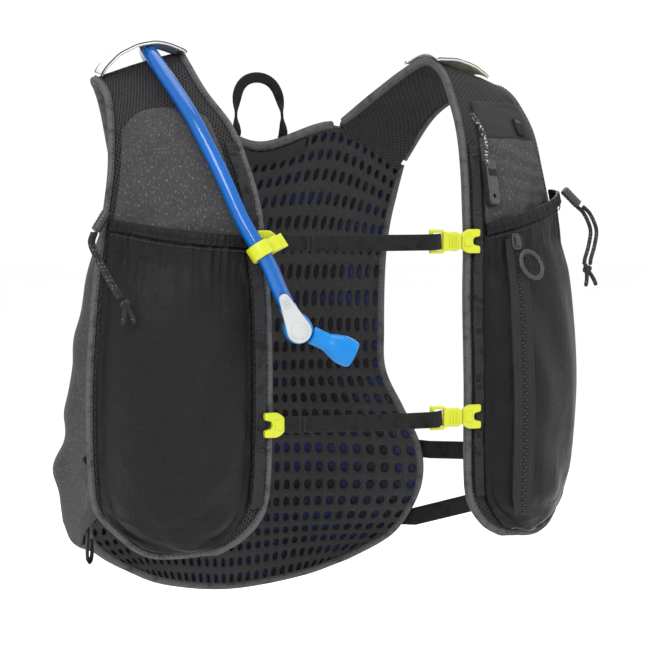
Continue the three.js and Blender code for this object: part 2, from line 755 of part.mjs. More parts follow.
function buildNeck() {
  const patch = (lift) => (a, b) => {
    const u = 0.5 + (a - 0.5) * acrossShare(back, 0.05, PATCH_WIDTH);
    const start = (EDGE + 1) / back.slopeAlong(u, 0).length();
    const v = start + (b * PATCH_HEIGHT) / back.slopeAlong(u, 0).length();
    return back.lifted(u, v, lift);
  };
  const near = -LAYER_GAP;
  const patchGrid = betweenGrids(6, 1, patch(near - FABRIC_THICKNESS), patch(near));
  add('neck_patch', patchGrid, FINISH.flap);

  const rootLift = MESH_THICKNESS + BINDING_PROUD + GRAB_LOOP_THICKNESS;
  const half = GRAB_LOOP_SPAN / 2;
  const leg = (side, v) => {
    const u = back.acrossAtX(half, v);
    return back.lifted(side < 0 ? 1 - u : u, v, rootLift);
  };
  const root = leg(1, 0);
  const steps = 16;
  const arch = Array.from({ length: steps + 1 }, (_, k) => {
    const turn = (Math.PI * k) / steps;
    const x = -half * Math.cos(turn) * (1 + 0.25 * Math.sin(turn) ** 2);
    const rise = GRAB_LOOP_HEIGHT * Math.sin(turn) ** 0.7;
    return new THREE.Vector3(x, root.y + 0.12 * rise, root.z + rise);
  });
  const foot = (2 * GRAB_LOOP_WIDTH) / BACK_DROP;
  const points = [leg(-1, foot), leg(-1, foot / 2), ...arch, leg(1, foot / 2), leg(1, foot)];
  const stations = points.map((at, k) => {
    const ahead = points[Math.min(k + 1, points.length - 1)];
    const behind = points[Math.max(k - 1, 0)];
    const tangent = ahead.clone().sub(behind).normalize();
    const side = Y_AXIS.clone().cross(tangent).normalize();
    return { at, side, face: tangent.clone().cross(side) };
  });
  add('grab_loop', sweep(stations, flatSection(GRAB_LOOP_WIDTH, GRAB_LOOP_THICKNESS)), FINISH.webbing);
}

// Ribbon along points; wide is the direction that its width keeps to.
function ribbon(points, width, thickness, wide) {
  const stations = points.map((at, k) => {
    const ahead = points[Math.min(k + 1, points.length - 1)];
    const behind = points[Math.max(k - 1, 0)];
    const tangent = ahead.clone().sub(behind).normalize();
    const side = wide.clone().addScaledVector(tangent, -wide.dot(tangent)).normalize();
    return { at, side, face: tangent.clone().cross(side) };
  });
  return sweep(stations, flatSection(width, thickness));
}

function buildPads() {
  const beside = EDGE + 2 * LAYER_GAP;
  const inset = new Inset(front, FRONT_END, 0, 1, { start: beside, end: beside, far: EDGE + 6 * LAYER_GAP });
  const grid = (lift) => (a, b) => {
    const { u, v } = inset.spot(a, b);
    return front.lifted(u, Math.min(v, FRONT_END), lift);
  };
  const whole = new Inset(front, FRONT_END, 0, 1, { start: EDGE, end: EDGE, far: EDGE });
  const slab = (lift) => (a, b) => {
    const { u, v } = whole.spot(a, b);
    return front.lifted(u, Math.min(v, FRONT_END), lift);
  };
  const pad = betweenGrids(6, 21, grid(0), grid(PAD_THICKNESS));
  padSlab = betweenGrids(6, 21, slab(-1), slab(PAD_THICKNESS + LAYER_GAP));
  add('strap_right', pad, FINISH.mesh);
  add('strap_left', mirrored(pad), FINISH.mesh);

  const rim = trailFrames(front, edgeTrail(17, 6, FRONT_END, 0), 1);
  const binding = sweep(rim, bindingSection(PAD_THICKNESS, 1));
  add('strap_binding_right', binding, FINISH.binding);
  add('strap_binding_left', mirrored(binding), FINISH.binding);
}

// Drop of a pocket's mouth for a share across.
function mouthDrop(mouth, a) {
  const straight = THREE.MathUtils.lerp(mouth.inner, mouth.outer, a);
  const bend = mouth.middle - (mouth.inner + mouth.outer) / 2;
  return straight + bend * 4 * a * (1 - a);
}

// Sheet on a front panel between two drops that may change across.
function panelSheet(low, high, margins, lift, thickness, across, along) {
  const grid = (off) => (a, b) => {
    const edge = frontAlong(0.5, low(0.5) * 0.5 + high(0.5) * 0.5);
    const start = acrossShare(front, edge, margins.inner);
    const end = 1 - acrossShare(front, edge, margins.outer);
    const u = THREE.MathUtils.lerp(start, end, a);
    const v = frontAlong(u, THREE.MathUtils.lerp(low(a), high(a), b));
    return front.lifted(u, v, off);
  };
  return betweenGrids(across, along, grid(lift), grid(lift + thickness));
}

function buildChestPanels() {
  const margins = {
    inner: TAPE_INSET + FABRIC_THICKNESS + POCKET_MARGIN,
    outer: EDGE + 2 * POCKET_MARGIN + FABRIC_THICKNESS,
  };
  const arch = (a) => CHEST_PANEL_TOP_DROP - 5 * Math.sin(Math.PI * a);
  const leftLow = (a) => mouthDrop(MOUTHS.left, a) - 1;
  const left = panelSheet(leftLow, arch, margins, PAD_FACE + LAYER_GAP, FABRIC_THICKNESS, 6, 6);
  add('chest_panel_left', mirrored(left), FINISH.heather);

  const flapLow = () => CHEST_PANEL_TOP_DROP + FLAP_HEIGHT / 2;
  const flapHigh = () => CHEST_PANEL_TOP_DROP - FLAP_HEIGHT / 2;
  const rightLow = (a) => mouthDrop(MOUTHS.right, a) - 1;
  const rightHigh = () => flapLow() + LAYER_GAP;
  const right = panelSheet(rightLow, rightHigh, margins, PAD_FACE, FABRIC_THICKNESS, 6, 5);
  add('chest_panel_right', right, FINISH.heather);
  const flap = panelSheet(flapLow, flapHigh, margins, PAD_FACE, FLAP_THICKNESS, 6, 2);
  add('chest_flap', flap, FINISH.flap);
}

// The wall of a flask pocket over its panel.
class Pocket {
  constructor(mouth) {
    this.mouth = mouth;
    this.inset = new Inset(front, FRONT_END, 0, 1, {});
    this.rims = [0, 0.5, 1].map((a) => frontAlong(a, mouthDrop(mouth, a)));
  }

  spot(a, b, wall) {
    const inner = TAPE_INSET + wall;
    const outer = EDGE + POCKET_MARGIN + wall;
    if (b === 0) {
      const found = this.inset.shift(a, 0, outer);
      const start = acrossShare(front, 0, inner - outer) * (1 - a);
      return { u: found.u + start, v: found.v };
    }
    const left = this.inset.shift(0, this.rims[0] * b, inner);
    const right = this.inset.shift(1, this.rims[2] * b, outer);
    const bend = this.rims[1] - (this.rims[0] + this.rims[2]) / 2;
    return {
      u: THREE.MathUtils.lerp(left.u, right.u, a),
      v: THREE.MathUtils.lerp(left.v, right.v, a) + bend * 4 * a * (1 - a) * b,
    };
  }

  lift(a, b) {
    const fullness = readTable(POCKET_FULLNESS, 'height', 'lift', b);
    const across = (1 - Math.abs(2 * a - 1) ** 3) ** 0.6;
    const flare = this.mouth.flare * a ** 2 * b ** 8 * across;
    return PAD_FACE + (POCKET_BULGE - PAD_FACE) * fullness * across + flare;
  }

  // A point on the wall; out lifts it off the outer face.
  point(a, b, out = 0) {
    const { u, v } = this.spot(a, b, 0);
    return front.lifted(u, v, this.lift(a, b) + out);
  }

  face(a, b) {
    const step = 0.01;
    const across = this.point(a + step, b).sub(this.point(a - step, b));
    const along = this.point(a, b + step).sub(this.point(a, b - step));
    return across.cross(along).normalize();
  }

  wall() {
    const inner = (a, b) => {
      const { u, v } = this.spot(a, b, FABRIC_THICKNESS);
      const rim = a === 0 || a === 1 || b === 0;
      const low = PAD_THICKNESS - FABRIC_THICKNESS;
      return front.lifted(u, v, rim ? low : Math.max(this.lift(a, b) - FABRIC_THICKNESS, low));
    };
    const outer = (a, b) => {
      const rim = a === 0 || a === 1 || b === 0;
      const { u, v } = this.spot(a, b, 0);
      return front.lifted(u, v, rim ? PAD_THICKNESS - FABRIC_THICKNESS : this.lift(a, b));
    };
    return cutBy(betweenGrids(8, 11, inner, outer), padSlab);
  }

  hem() {
    const rows = HEM_HEIGHT / front.slopeAlong(0.5, this.rims[1]).length();
    const skip = LAYER_GAP / front.slopeAlong(0.5, this.rims[1]).length();
    const grid = (off) => (a, b) => {
      const share = THREE.MathUtils.lerp(0.02, 0.98, a);
      const { u, v } = this.spot(share, 1, 0);
      const low = Math.max(this.lift(share, 1) - HEM_THICKNESS / 2, PANEL_FACE + LAYER_GAP);
      return front.lifted(u, v + skip + rows * b, low + off);
    };
    return betweenGrids(12, 1, grid(0), grid(HEM_THICKNESS));
  }
}

const pockets = { left: new Pocket(MOUTHS.left), right: new Pocket(MOUTHS.right) };

function buildPockets() {
  add('flask_pocket_right', pockets.right.wall(), FINISH.ripstop);
  add('flask_pocket_left', mirrored(pockets.left.wall()), FINISH.ripstop);
  add('pocket_hem_right', pockets.right.hem(), FINISH.ripstop);
  add('pocket_hem_left', mirrored(pockets.left.hem()), FINISH.ripstop);
}

function buildLadderTapes() {
  const grid = (lift) => (a, b) => {
    const v = frontAlong(0, THREE.MathUtils.lerp(LADDER_TAPE_BOTTOM_DROP, LADDER_TAPE_TOP_DROP, b));
    const u = acrossShare(front, v, EDGE + a * LADDER_TAPE_WIDTH);
    return front.lifted(u, v, lift);
  };
  const tape = betweenGrids(1, 14, grid(PAD_FACE), grid(PAD_FACE + FABRIC_THICKNESS));
  add('ladder_tape_right', tape, FINISH.webbing);
  add('ladder_tape_left', mirrored(tape), FINISH.webbing);
}

function buildTubeLoops() {
  const loop = (rise, start, end) => {
    const apex = (FRONT_RUNGS.length + 2) / (FRONT_RUNGS.length + SHOULDER_RUNGS.length);
    const half = TUBE_LOOP_WIDTH / 2 / front.slopeAlong(0.5, apex).length();
    const grid = (off) => (a, b) => {
      const u = THREE.MathUtils.lerp(start, end, a);
      const v = apex + (b * 2 - 1) * half;
      const arch = rise * Math.sin(Math.PI * a) ** 0.8;
      return front.lifted(u, v, PAD_FACE + 2 * BINDING_PROUD + arch + off);
    };
    return betweenGrids(10, 2, grid(0), grid(TUBE_LOOP_THICKNESS));
  };
  add('tube_loop_right', loop(TUBE_LOOP_RISES.right, 0.01, 0.7), FINISH.reflective);
  add('tube_loop_left', mirrored(loop(TUBE_LOOP_RISES.left, 0.01, 0.92)), FINISH.reflective);
}

// Flat frame at a front panel's inner edge where a chest strap joins it.
function claspSeat(side, drop) {
  const v = frontAlong(0, drop);
  const at = front.lifted(0, v, PAD_FACE + FABRIC_THICKNESS + CLASP_THICKNESS / 2);
  return new THREE.Vector3(side * at.x, at.y, at.z);
}

function hookOutline(direction) {
  const half = CLASP_HEIGHT / 2;
  const reach = HOOK_LENGTH;
  const outline = [
    [0, -half * 0.55], [reach * 0.2, -half], [reach, -half], [reach, -half * 0.35],
    [reach * 0.62, -half * 0.25], [reach * 0.62, half * 0.25], [reach, half * 0.35], [reach, half],
    [reach * 0.2, half], [0, half * 0.55],
  ];
  return outline.map(([x, y]) => [x * direction, y]);
}

function buildChestStraps() {
  const drops = { upper: UPPER_STRAP_DROP, lower: LOWER_STRAP_DROP };
  for (const [level, drop] of Object.entries(drops)) {
    const left = claspSeat(-1, drop);
    const right = claspSeat(1, drop);
    const face = new THREE.Vector3(0, -1, 0);
    const overlap = HOOK_LENGTH * 0.45;

    const leftPlate = centred(plate(hookOutline(-1), CLASP_THICKNESS));
    const hookLeft = add(`clasp_hook_left_${level}`, leftPlate, FINISH.yellow);
    place(hookLeft, left.clone().setX(left.x + overlap), X_AXIS, face);
    const rightPlate = centred(plate(hookOutline(1), CLASP_THICKNESS));
    const hookRight = add(`clasp_hook_right_${level}`, rightPlate, FINISH.yellow);
    place(hookRight, right.clone().setX(right.x - overlap), X_AXIS, face);

    const bodyEnd = right.x - overlap - LAYER_GAP;
    const buckle = add(`buckle_${level}`, buckleShape(), FINISH.yellow);
    place(buckle, new THREE.Vector3(bodyEnd, right.y, right.z), X_AXIS, face);

    const start = new THREE.Vector3(left.x + overlap + LAYER_GAP, left.y, left.z);
    const frame = bodyEnd - BUCKLE_BODY_LENGTH - BUCKLE_FRAME_LENGTH;
    const proud = (CLASP_THICKNESS + CHEST_STRAP_THICKNESS) / 2 + LAYER_GAP;
    const tuck = [
      [frame - 2 * FRAME_BAR, 0], [frame - FRAME_BAR / 2, -proud], [frame + 1.5 * FRAME_BAR, -proud],
      [frame + 3 * FRAME_BAR, -CHEST_STRAP_THICKNESS], [frame + 3.8 * FRAME_BAR, 0],
    ].map(([x, y]) => new THREE.Vector3(x, right.y + y, right.z));
    const steps = 6;
    const run = Array.from({ length: steps }, (_, k) => start.clone().lerp(tuck[0], k / steps));
    const points = [...run, ...tuck];
    add(`chest_strap_${level}`, ribbon(points, CHEST_STRAP_WIDTH, CHEST_STRAP_THICKNESS, Z_AXIS),
      FINISH.webbing);
  }
}

function centred(geometry) {
  return geometry.translate(0, 0, -CLASP_THICKNESS / 2);
}

// Buckle body with its slider frame; its right end is at X = 0 and it runs to -X.
function buckleShape() {
  const half = CLASP_HEIGHT / 2;
  const neck = -BUCKLE_BODY_LENGTH;
  const far = neck - BUCKLE_FRAME_LENGTH;
  const outline = [
    [0, -half * 0.55], [0, half * 0.55], [neck * 0.35, half * 0.8], [neck, half * 0.72],
    [neck, half], [far, half], [far, -half], [neck, -half], [neck, -half * 0.72],
    [neck * 0.35, -half * 0.8],
  ];
  const slot = rectangle(far + FRAME_BAR, -half + FRAME_BAR, neck - FRAME_BAR / 2, half - FRAME_BAR);
  return centred(plate(outline, CLASP_THICKNESS, [slot]));
}

function buildSideStraps() {
  for (const side of [-1, 1]) {
    const word = side < 0 ? 'left' : 'right';
    const wing = (v) => {
      const at = back.lifted(side < 0 ? 0 : 1, v, MESH_THICKNESS / 2);
      return at.setX(at.x + side * (SIDE_STRAP_THICKNESS + 5 * LAYER_GAP));
    };
    const chest = (drop) => {
      const v = frontAlong(1, drop);
      const below = -SIDE_STRAP_THICKNESS - 2 * BINDING_PROUD;
      const at = front.lifted(1 - acrossShare(front, v, 3), v, below);
      return new THREE.Vector3(side * at.x, at.y, at.z);
    };
    const runs = {
      upper: { from: wing(SIDE_STRAP_PLACES.upper), to: chest(SIDE_STRAP_DROPS.upper) },
      lower: { from: wing(SIDE_STRAP_PLACES.lower), to: chest(SIDE_STRAP_DROPS.lower) },
    };
    for (const [level, { from, to }] of Object.entries(runs)) {
      const middle = from.clone().lerp(to, 0.5);
      middle.x += side * SIDE_STRAP_BOW;
      const curve = new THREE.QuadraticBezierCurve3(from, middle, to);
      const strap = ribbon(curve.getPoints(8), SIDE_STRAP_WIDTH, SIDE_STRAP_THICKNESS, Z_AXIS);
      add(`side_strap_${word}_${level}`, strap, FINISH.webbing);
      if (side < 0 && level === 'lower') addStrapTail(curve);
    }
  }
}

// The end of the adjuster strap, folded back on itself below the strap.
function addStrapTail(curve) {
  const root = curve.getPoint(STRAP_TAIL_PLACE);
  const along = curve.getTangent(STRAP_TAIL_PLACE).setZ(0).normalize();
  const out = Z_AXIS.clone().cross(along);
  const top = SIDE_STRAP_WIDTH / 2 + 5 * LAYER_GAP;
  const fold = [[0, 0], [0, 0.8], [0.3, 1], [0.7, 0.98], [1, 0.75], [1, 0.2]];
  const points = fold.map(([over, fall]) => root.clone()
    .addScaledVector(out, over * 2.5 * SIDE_STRAP_THICKNESS)
    .addScaledVector(Z_AXIS, -top - fall * STRAP_TAIL_LENGTH));
  add('strap_tail_left', ribbon(points, SIDE_STRAP_WIDTH, SIDE_STRAP_THICKNESS, along), FINISH.webbing);
}

function buildHose() {
  add('drink_hose', tube(HOSE_ROUTE, HOSE_DIAMETER, 10, 32), FINISH.hose);
  const path = new THREE.CatmullRomCurve3(HOSE_ROUTE.map((point) => new THREE.Vector3(...point)));
  const samples = path.getPoints(400);
  const spot = samples.findIndex((point) => point.y < 0 && point.z < -UPPER_STRAP_DROP - 3);
  const at = samples[spot];
  const tangent = samples[spot + 1].clone().sub(samples[spot - 1]).normalize();
  const radius = HOSE_DIAMETER / 2 + LAYER_GAP + CLIP_WALL;
  const ring = new THREE.CylinderGeometry(radius, radius, CLIP_HEIGHT, 16).rotateX(Math.PI / 2);
  const tab = new THREE.BoxGeometry(CLIP_PLATE_LENGTH + radius, CLIP_WALL, CLIP_HEIGHT);
  tab.translate((CLIP_PLATE_LENGTH + radius) / 2, CLIP_WALL * 1.4 - radius, 0);
  const boreRadius = HOSE_DIAMETER / 2 + 1.3 * LAYER_GAP;
  const bore = new THREE.CylinderGeometry(boreRadius, boreRadius, 2 * CLIP_HEIGHT, 16);
  bore.rotateX(Math.PI / 2);
  const clip = add('hose_clip', cutBy(joined(ring, tab), bore), FINISH.yellow);
  place(clip, at, X_AXIS.clone().addScaledVector(tangent, -tangent.x), tangent);
}

// A flat tapered outline with a round hub at the origin and a round tip along X.
function taperedOutline(hub, tip, length) {
  const lean = Math.asin((hub - tip) / length);
  const outline = [];
  const steps = 8;
  for (let k = 0; k <= steps; k += 1) {
    const turn = Math.PI / 2 - lean + ((Math.PI + 2 * lean) * k) / steps;
    outline.push([hub * Math.cos(turn), hub * Math.sin(turn)]);
  }
  for (let k = 0; k <= steps; k += 1) {
    const turn = -Math.PI / 2 + lean + ((Math.PI - 2 * lean) * k) / steps;
    outline.push([length + tip * Math.cos(turn), tip * Math.sin(turn)]);
  }
  return outline;
}

// Cylinder from a point along a direction.
function rod(from, direction, length, diameter, sides) {
  const geometry = new THREE.CylinderGeometry(diameter / 2, diameter / 2, length, sides);
  geometry.translate(0, length / 2, 0);
  geometry.applyQuaternion(new THREE.Quaternion().setFromUnitVectors(Y_AXIS, direction));
  return geometry.translate(from.x, from.y, from.z);
}

function buildValve() {
  const end = new THREE.Vector3(...HOSE_ROUTE[HOSE_ROUTE.length - 1]);
  const before = new THREE.Vector3(...HOSE_ROUTE[HOSE_ROUTE.length - 2]);
  const down = end.clone().sub(before).normalize();
  const up = down.clone().negate();
  const centre = end.clone().addScaledVector(down, STUB_LENGTH + LAYER_GAP);
  const axis = VALVE_FACE.clone().addScaledVector(up, -VALVE_FACE.dot(up)).normalize();
  const aside = up.clone().cross(axis).normalize();
  const bend = THREE.MathUtils.degToRad(VALVE_BEND);
  const mouth = up.clone().multiplyScalar(Math.cos(bend)).addScaledVector(aside, Math.sin(bend));

  const start = centre.clone().addScaledVector(axis, -VALVE_LENGTH / 2);
  const drum = rod(start, axis, VALVE_LENGTH, VALVE_DIAMETER, 16);
  const stub = rod(centre, up, STUB_LENGTH, STUB_DIAMETER, 12);
  const spigot = rod(centre, mouth, VALVE_DIAMETER / 2 + SPIGOT_LENGTH, VALVE_BORE, 10);
  add('valve_elbow', joined(drum, stub, spigot), FINISH.valve);

  const outline = taperedOutline(LEVER_HUB_DIAMETER / 2, LEVER_TIP_DIAMETER / 2, LEVER_LENGTH);
  const lever = add('shutoff_lever', plate(outline, LEVER_THICKNESS), FINISH.lever);
  place(lever, centre.clone().addScaledVector(axis, VALVE_LENGTH / 2 + LAYER_GAP), up, axis);

  const neck = SLEEVE_NECK_DIAMETER / 2;
  const flare = SLEEVE_FLARE_DIAMETER / 2;
  const bore = VALVE_BORE / 2 + LAYER_GAP;
  const depth = SPIGOT_LENGTH + 2;
  const profile = [
    [bore, 0], [neck, 0], [neck, SLEEVE_LENGTH * 0.38], [flare * 0.82, SLEEVE_LENGTH * 0.52],
    [flare, SLEEVE_LENGTH * 0.66], [flare, SLEEVE_LENGTH * 0.9], [flare * 0.86, SLEEVE_LENGTH],
    [0, SLEEVE_LENGTH], [0, depth], [bore, depth], [bore, 0],
  ].map(([x, y]) => new THREE.Vector2(x, y));
  const sleeve = add('bite_sleeve', positionOnly(new THREE.LatheGeometry(profile, 12)), FINISH.valve);
  sleeve.position.copy(centre.clone().addScaledVector(mouth, VALVE_DIAMETER / 2 + LAYER_GAP));
  sleeve.quaternion.setFromUnitVectors(Y_AXIS, mouth);
}

function buildDrawcords() {
  for (const [word, route] of Object.entries(DRAWCORD_ROUTES)) {
    const apart = CORD_DIAMETER / 2 + 1.5 * LAYER_GAP;
    const side = Math.sign(route[0][0]);
    const shift = [side * apart * 0.8, -apart * 0.6];
    const strand = (turn) => route.map(([x, y, z]) => [x + turn * shift[0], y + turn * shift[1], z]);
    add(`drawcord_${word}_front`, tube(strand(1), CORD_DIAMETER, 8, 10), FINISH.trim);
    add(`drawcord_${word}_rear`, tube(strand(-1), CORD_DIAMETER, 8, 10), FINISH.trim);

    const first = new THREE.Vector3(...route[0]);
    const leave = new THREE.Vector3(...route[1]).sub(first).normalize();
    const axis = new THREE.Vector3(-side * 0.76, 0, 0.65).addScaledVector(leave, -1).normalize();
    const start = first.clone().addScaledVector(axis, LAYER_GAP + CORD_DIAMETER / 2);
    add(`cordlock_${word}`, rod(start, axis, CORDLOCK_LENGTH, CORDLOCK_DIAMETER, 10), FINISH.trim);

    const last = new THREE.Vector3(...route[route.length - 1]);
    const prior = new THREE.Vector3(...route[route.length - 2]);
    const fall = last.clone().sub(prior).normalize();
    const centre = last.clone().addScaledVector(fall, KNOT_DIAMETER / 2 + 1.5 * LAYER_GAP);
    const knot = new THREE.SphereGeometry(KNOT_DIAMETER / 2, 10, 8);
    knot.translate(centre.x, centre.y, centre.z);
    const tails = [-0.35, 0.35].map((lean) => {
      const direction = new THREE.Vector3(lean, fall.y * 0.7, -1).normalize();
      return rod(centre, direction, KNOT_DIAMETER / 2 + CORD_TAIL_LENGTH, CORD_DIAMETER, 6);
    });
    add(`cord_end_${word}`, joined(knot, ...tails), FINISH.trim);
  }
}

function buildZip() {
  const pocket = pockets.right;
  const width = ZIP_WIDTH / (CHEST_HALF_WIDTH * ZIP_SPAN);
  const top = 1 - (ZIP_TOP_DROP - MOUTHS.right.inner) / (FRONT_DROP - MOUTHS.right.inner);
  const share = { low: ZIP_LOW, high: top };
  const grid = (off) => (a, b) =>
    pocket.point(ZIP_PLACE + (a - 0.5) * width, THREE.MathUtils.lerp(share.low, share.high, b), off);
  const lift = LAYER_GAP * 1.5;
  add('pocket_zip', betweenGrids(2, 14, grid(lift), grid(lift + ZIP_THICKNESS)), FINISH.trim);

  const spot = share.high - 0.02;
  const face = pocket.face(ZIP_PLACE, spot);
  const at = pocket.point(ZIP_PLACE, spot, lift + ZIP_THICKNESS + LAYER_GAP);
  const down = pocket.point(ZIP_PLACE, spot - 0.05).sub(pocket.point(ZIP_PLACE, spot)).normalize();
  const half = SLIDER_LENGTH / 2;
  const wide = SLIDER_WIDTH / 2;
  const outline = [
    [-half, -wide * 0.65], [half * 0.4, -wide], [half, -wide * 0.55],
    [half, wide * 0.55], [half * 0.4, wide], [-half, wide * 0.65],
  ];
  const slider = add('zip_slider', plate(outline, SLIDER_THICKNESS), FINISH.trim);
  place(slider, at, down, face);

  const lean = new THREE.Vector3().crossVectors(face, down).normalize();
  const drop = down.clone().addScaledVector(lean, 0.45).normalize();
  const centre = at.clone().addScaledVector(drop, half + PULL_LOOP_HEIGHT / 2 + 1);
  const across = face.clone().cross(drop).normalize();
  const lifted = centre.addScaledVector(face, PULL_LOOP_DIAMETER / 2 + 2 * LAYER_GAP);
  const rings = 20;
  const stations = Array.from({ length: rings }, (_, k) => {
    const turn = (2 * Math.PI * k) / rings;
    const out = drop.clone().multiplyScalar(Math.cos(turn)).addScaledVector(across, Math.sin(turn));
    const spotAt = lifted.clone()
      .addScaledVector(drop, Math.cos(turn) * (PULL_LOOP_HEIGHT - PULL_LOOP_DIAMETER) / 2)
      .addScaledVector(across, Math.sin(turn) * (PULL_LOOP_WIDTH - PULL_LOOP_DIAMETER) / 2);
    return { at: spotAt, side: out, face };
  });
  add('zip_pull', sweep(stations, ringSection(PULL_LOOP_DIAMETER / 2, 6), true), FINISH.trim);
}

function buildWhistle() {
  const last = new THREE.Vector3(...LANYARD_ROUTE[LANYARD_ROUTE.length - 1]);
  const v = frontAlong(0.2, -last.z + WHISTLE_LENGTH / 2);
  const u = acrossShare(front, v, WHISTLE_INSET);
  const face = front.normal(u, v);
  const down = front.slopeAlong(u, v).normalize().negate();
  const at = front.lifted(u, v, PANEL_FACE + 1.5 * LAYER_GAP);
  const half = WHISTLE_LENGTH / 2;
  const wide = WHISTLE_WIDTH / 2;
  const outline = [
    [-half, -wide * 0.6], [-half + 2, -wide], [half - 2, -wide], [half, -wide * 0.7],
    [half, wide * 0.7], [half - 2, wide], [-half + 2, wide], [-half, wide * 0.6],
  ];
  const eye = ringSection(WHISTLE_HOLE_DIAMETER / 2, 8).map(([x, y]) => [x + half * 0.62, y]);
  const whistle = add('whistle', plate(outline, WHISTLE_DEPTH, [eye]), FINISH.trim);
  place(whistle, at, down, face);
  add('whistle_lanyard', tube(LANYARD_ROUTE, CORD_DIAMETER, 8, 10), FINISH.reflective);

  const tabAt = frontAlong(PULL_TAB_PLACE, CHEST_PANEL_TOP_DROP + FLAP_HEIGHT / 2 - PULL_TAB_LENGTH / 2);
  const tabFace = front.normal(PULL_TAB_PLACE, tabAt);
  const tabOutline = [
    [-PULL_TAB_LENGTH / 2, -PULL_TAB_WIDTH / 2], [PULL_TAB_LENGTH / 2, -PULL_TAB_WIDTH * 0.36],
    [PULL_TAB_LENGTH / 2, PULL_TAB_WIDTH * 0.36], [-PULL_TAB_LENGTH / 2, PULL_TAB_WIDTH / 2],
  ];
  const tab = add('pull_tab', plate(tabOutline, FABRIC_THICKNESS * 1.5), FINISH.webbing);
  const tabSpot = front.lifted(PULL_TAB_PLACE, tabAt, PAD_FACE + FLAP_THICKNESS + 1.5 * LAYER_GAP);
  place(tab, tabSpot, front.slopeAlong(PULL_TAB_PLACE, tabAt).normalize().negate(), tabFace);
}

buildBack();
buildPack();
buildNeck();
buildPads();
buildChestPanels();
buildPockets();
buildLadderTapes();
buildTubeLoops();
buildChestStraps();
buildSideStraps();
buildHose();
buildValve();
buildDrawcords();
buildZip();
buildWhistle();

export default vest;
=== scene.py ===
"""Running hydration vest in its worn shape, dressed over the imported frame.

The tables hold shares of named sizes and everything else is in metres. +Z is up and the wearer
faces -Y. Left and right are as seen from the front, so right is +X.
"""

import json
import logging
import math
from collections.abc import Sequence
from dataclasses import dataclass
from enum import Enum

import bmesh
import bpy
import numpy as np
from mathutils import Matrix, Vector

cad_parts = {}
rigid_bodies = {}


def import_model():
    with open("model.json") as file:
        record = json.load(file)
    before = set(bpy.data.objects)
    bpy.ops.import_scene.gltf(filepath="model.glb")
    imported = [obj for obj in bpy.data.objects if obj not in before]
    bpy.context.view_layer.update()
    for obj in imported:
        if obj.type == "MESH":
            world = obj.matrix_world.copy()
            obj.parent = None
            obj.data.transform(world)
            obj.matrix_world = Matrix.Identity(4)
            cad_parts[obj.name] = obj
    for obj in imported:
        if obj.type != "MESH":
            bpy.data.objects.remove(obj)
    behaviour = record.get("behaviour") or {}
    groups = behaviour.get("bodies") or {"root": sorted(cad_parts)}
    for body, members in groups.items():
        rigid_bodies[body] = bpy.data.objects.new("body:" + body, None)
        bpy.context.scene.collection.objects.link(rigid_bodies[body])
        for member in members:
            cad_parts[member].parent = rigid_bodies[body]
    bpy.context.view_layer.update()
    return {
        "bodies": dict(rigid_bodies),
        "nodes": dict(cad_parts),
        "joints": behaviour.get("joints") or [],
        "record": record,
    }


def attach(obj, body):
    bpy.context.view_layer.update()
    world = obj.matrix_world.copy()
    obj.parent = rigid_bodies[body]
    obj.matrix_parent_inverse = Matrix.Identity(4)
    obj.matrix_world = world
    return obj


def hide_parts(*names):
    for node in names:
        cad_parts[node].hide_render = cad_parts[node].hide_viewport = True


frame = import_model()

log = logging.getLogger("hydration_vest")
Array = np.ndarray
MM = 0.001

# Body of the vest
FRONT_DROP = 0.297
CHEST_HALF_WIDTH = 0.170
CHEST_DEPTH = 0.087
PANEL_BOW = 0.010
SHOULDER_HALF_WIDTH = 0.144
SHOULDER_DEPTH = 0.063
SHOULDER_RISE = 0.060
BACK_DROP = 0.350
BACK_HALF_WIDTH = 0.124
BACK_DEPTH = 0.112
NECK_SHARE = 0.75

# Layers
PAD_THICKNESS = 0.004
MESH_THICKNESS = 0.005
FABRIC_THICKNESS = 0.0012
LAYER_GAP = 0.0004
BINDING_WIDTH = 0.0046
BINDING_PROUD = 0.0005
POCKET_MARGIN = 0.0012
LADDER_TAPE_WIDTH = 0.0064
EDGE = BINDING_WIDTH + 2 * LAYER_GAP
PAD_FACE = PAD_THICKNESS + 1.5 * LAYER_GAP
PANEL_FACE = PAD_FACE + FABRIC_THICKNESS
TAPE_INSET = EDGE + LADDER_TAPE_WIDTH + POCKET_MARGIN

# Front panel rungs from the bottom up: drop of FRONT_DROP, inner X of CHEST_HALF_WIDTH, inner Y of
# CHEST_DEPTH forward, outer X and Y of the same, and bow of PANEL_BOW.
FRONT_RUNGS = (
    (1.0, 0.575, 0.92, 0.776, 0.7, 0.2),
    (0.973, 0.49, 0.93, 0.875, 0.63, 0.6),
    (0.918, 0.412, 0.97, 0.953, 0.5, 0.9),
    (0.842, 0.391, 0.989, 0.982, 0.5, 1.0),
    (0.673, 0.388, 1.0, 1.0, 0.552, 1.0),
    (0.492, 0.388, 0.977, 0.979, 0.546, 1.0),
    (0.384, 0.4, 0.943, 0.947, 0.511, 1.0),
    (0.303, 0.406, 0.908, 0.912, 0.46, 0.9),
    (0.222, 0.426, 0.816, 0.888, 0.425, 0.7),
    (0.141, 0.453, 0.667, 0.874, 0.356, 0.4),
)
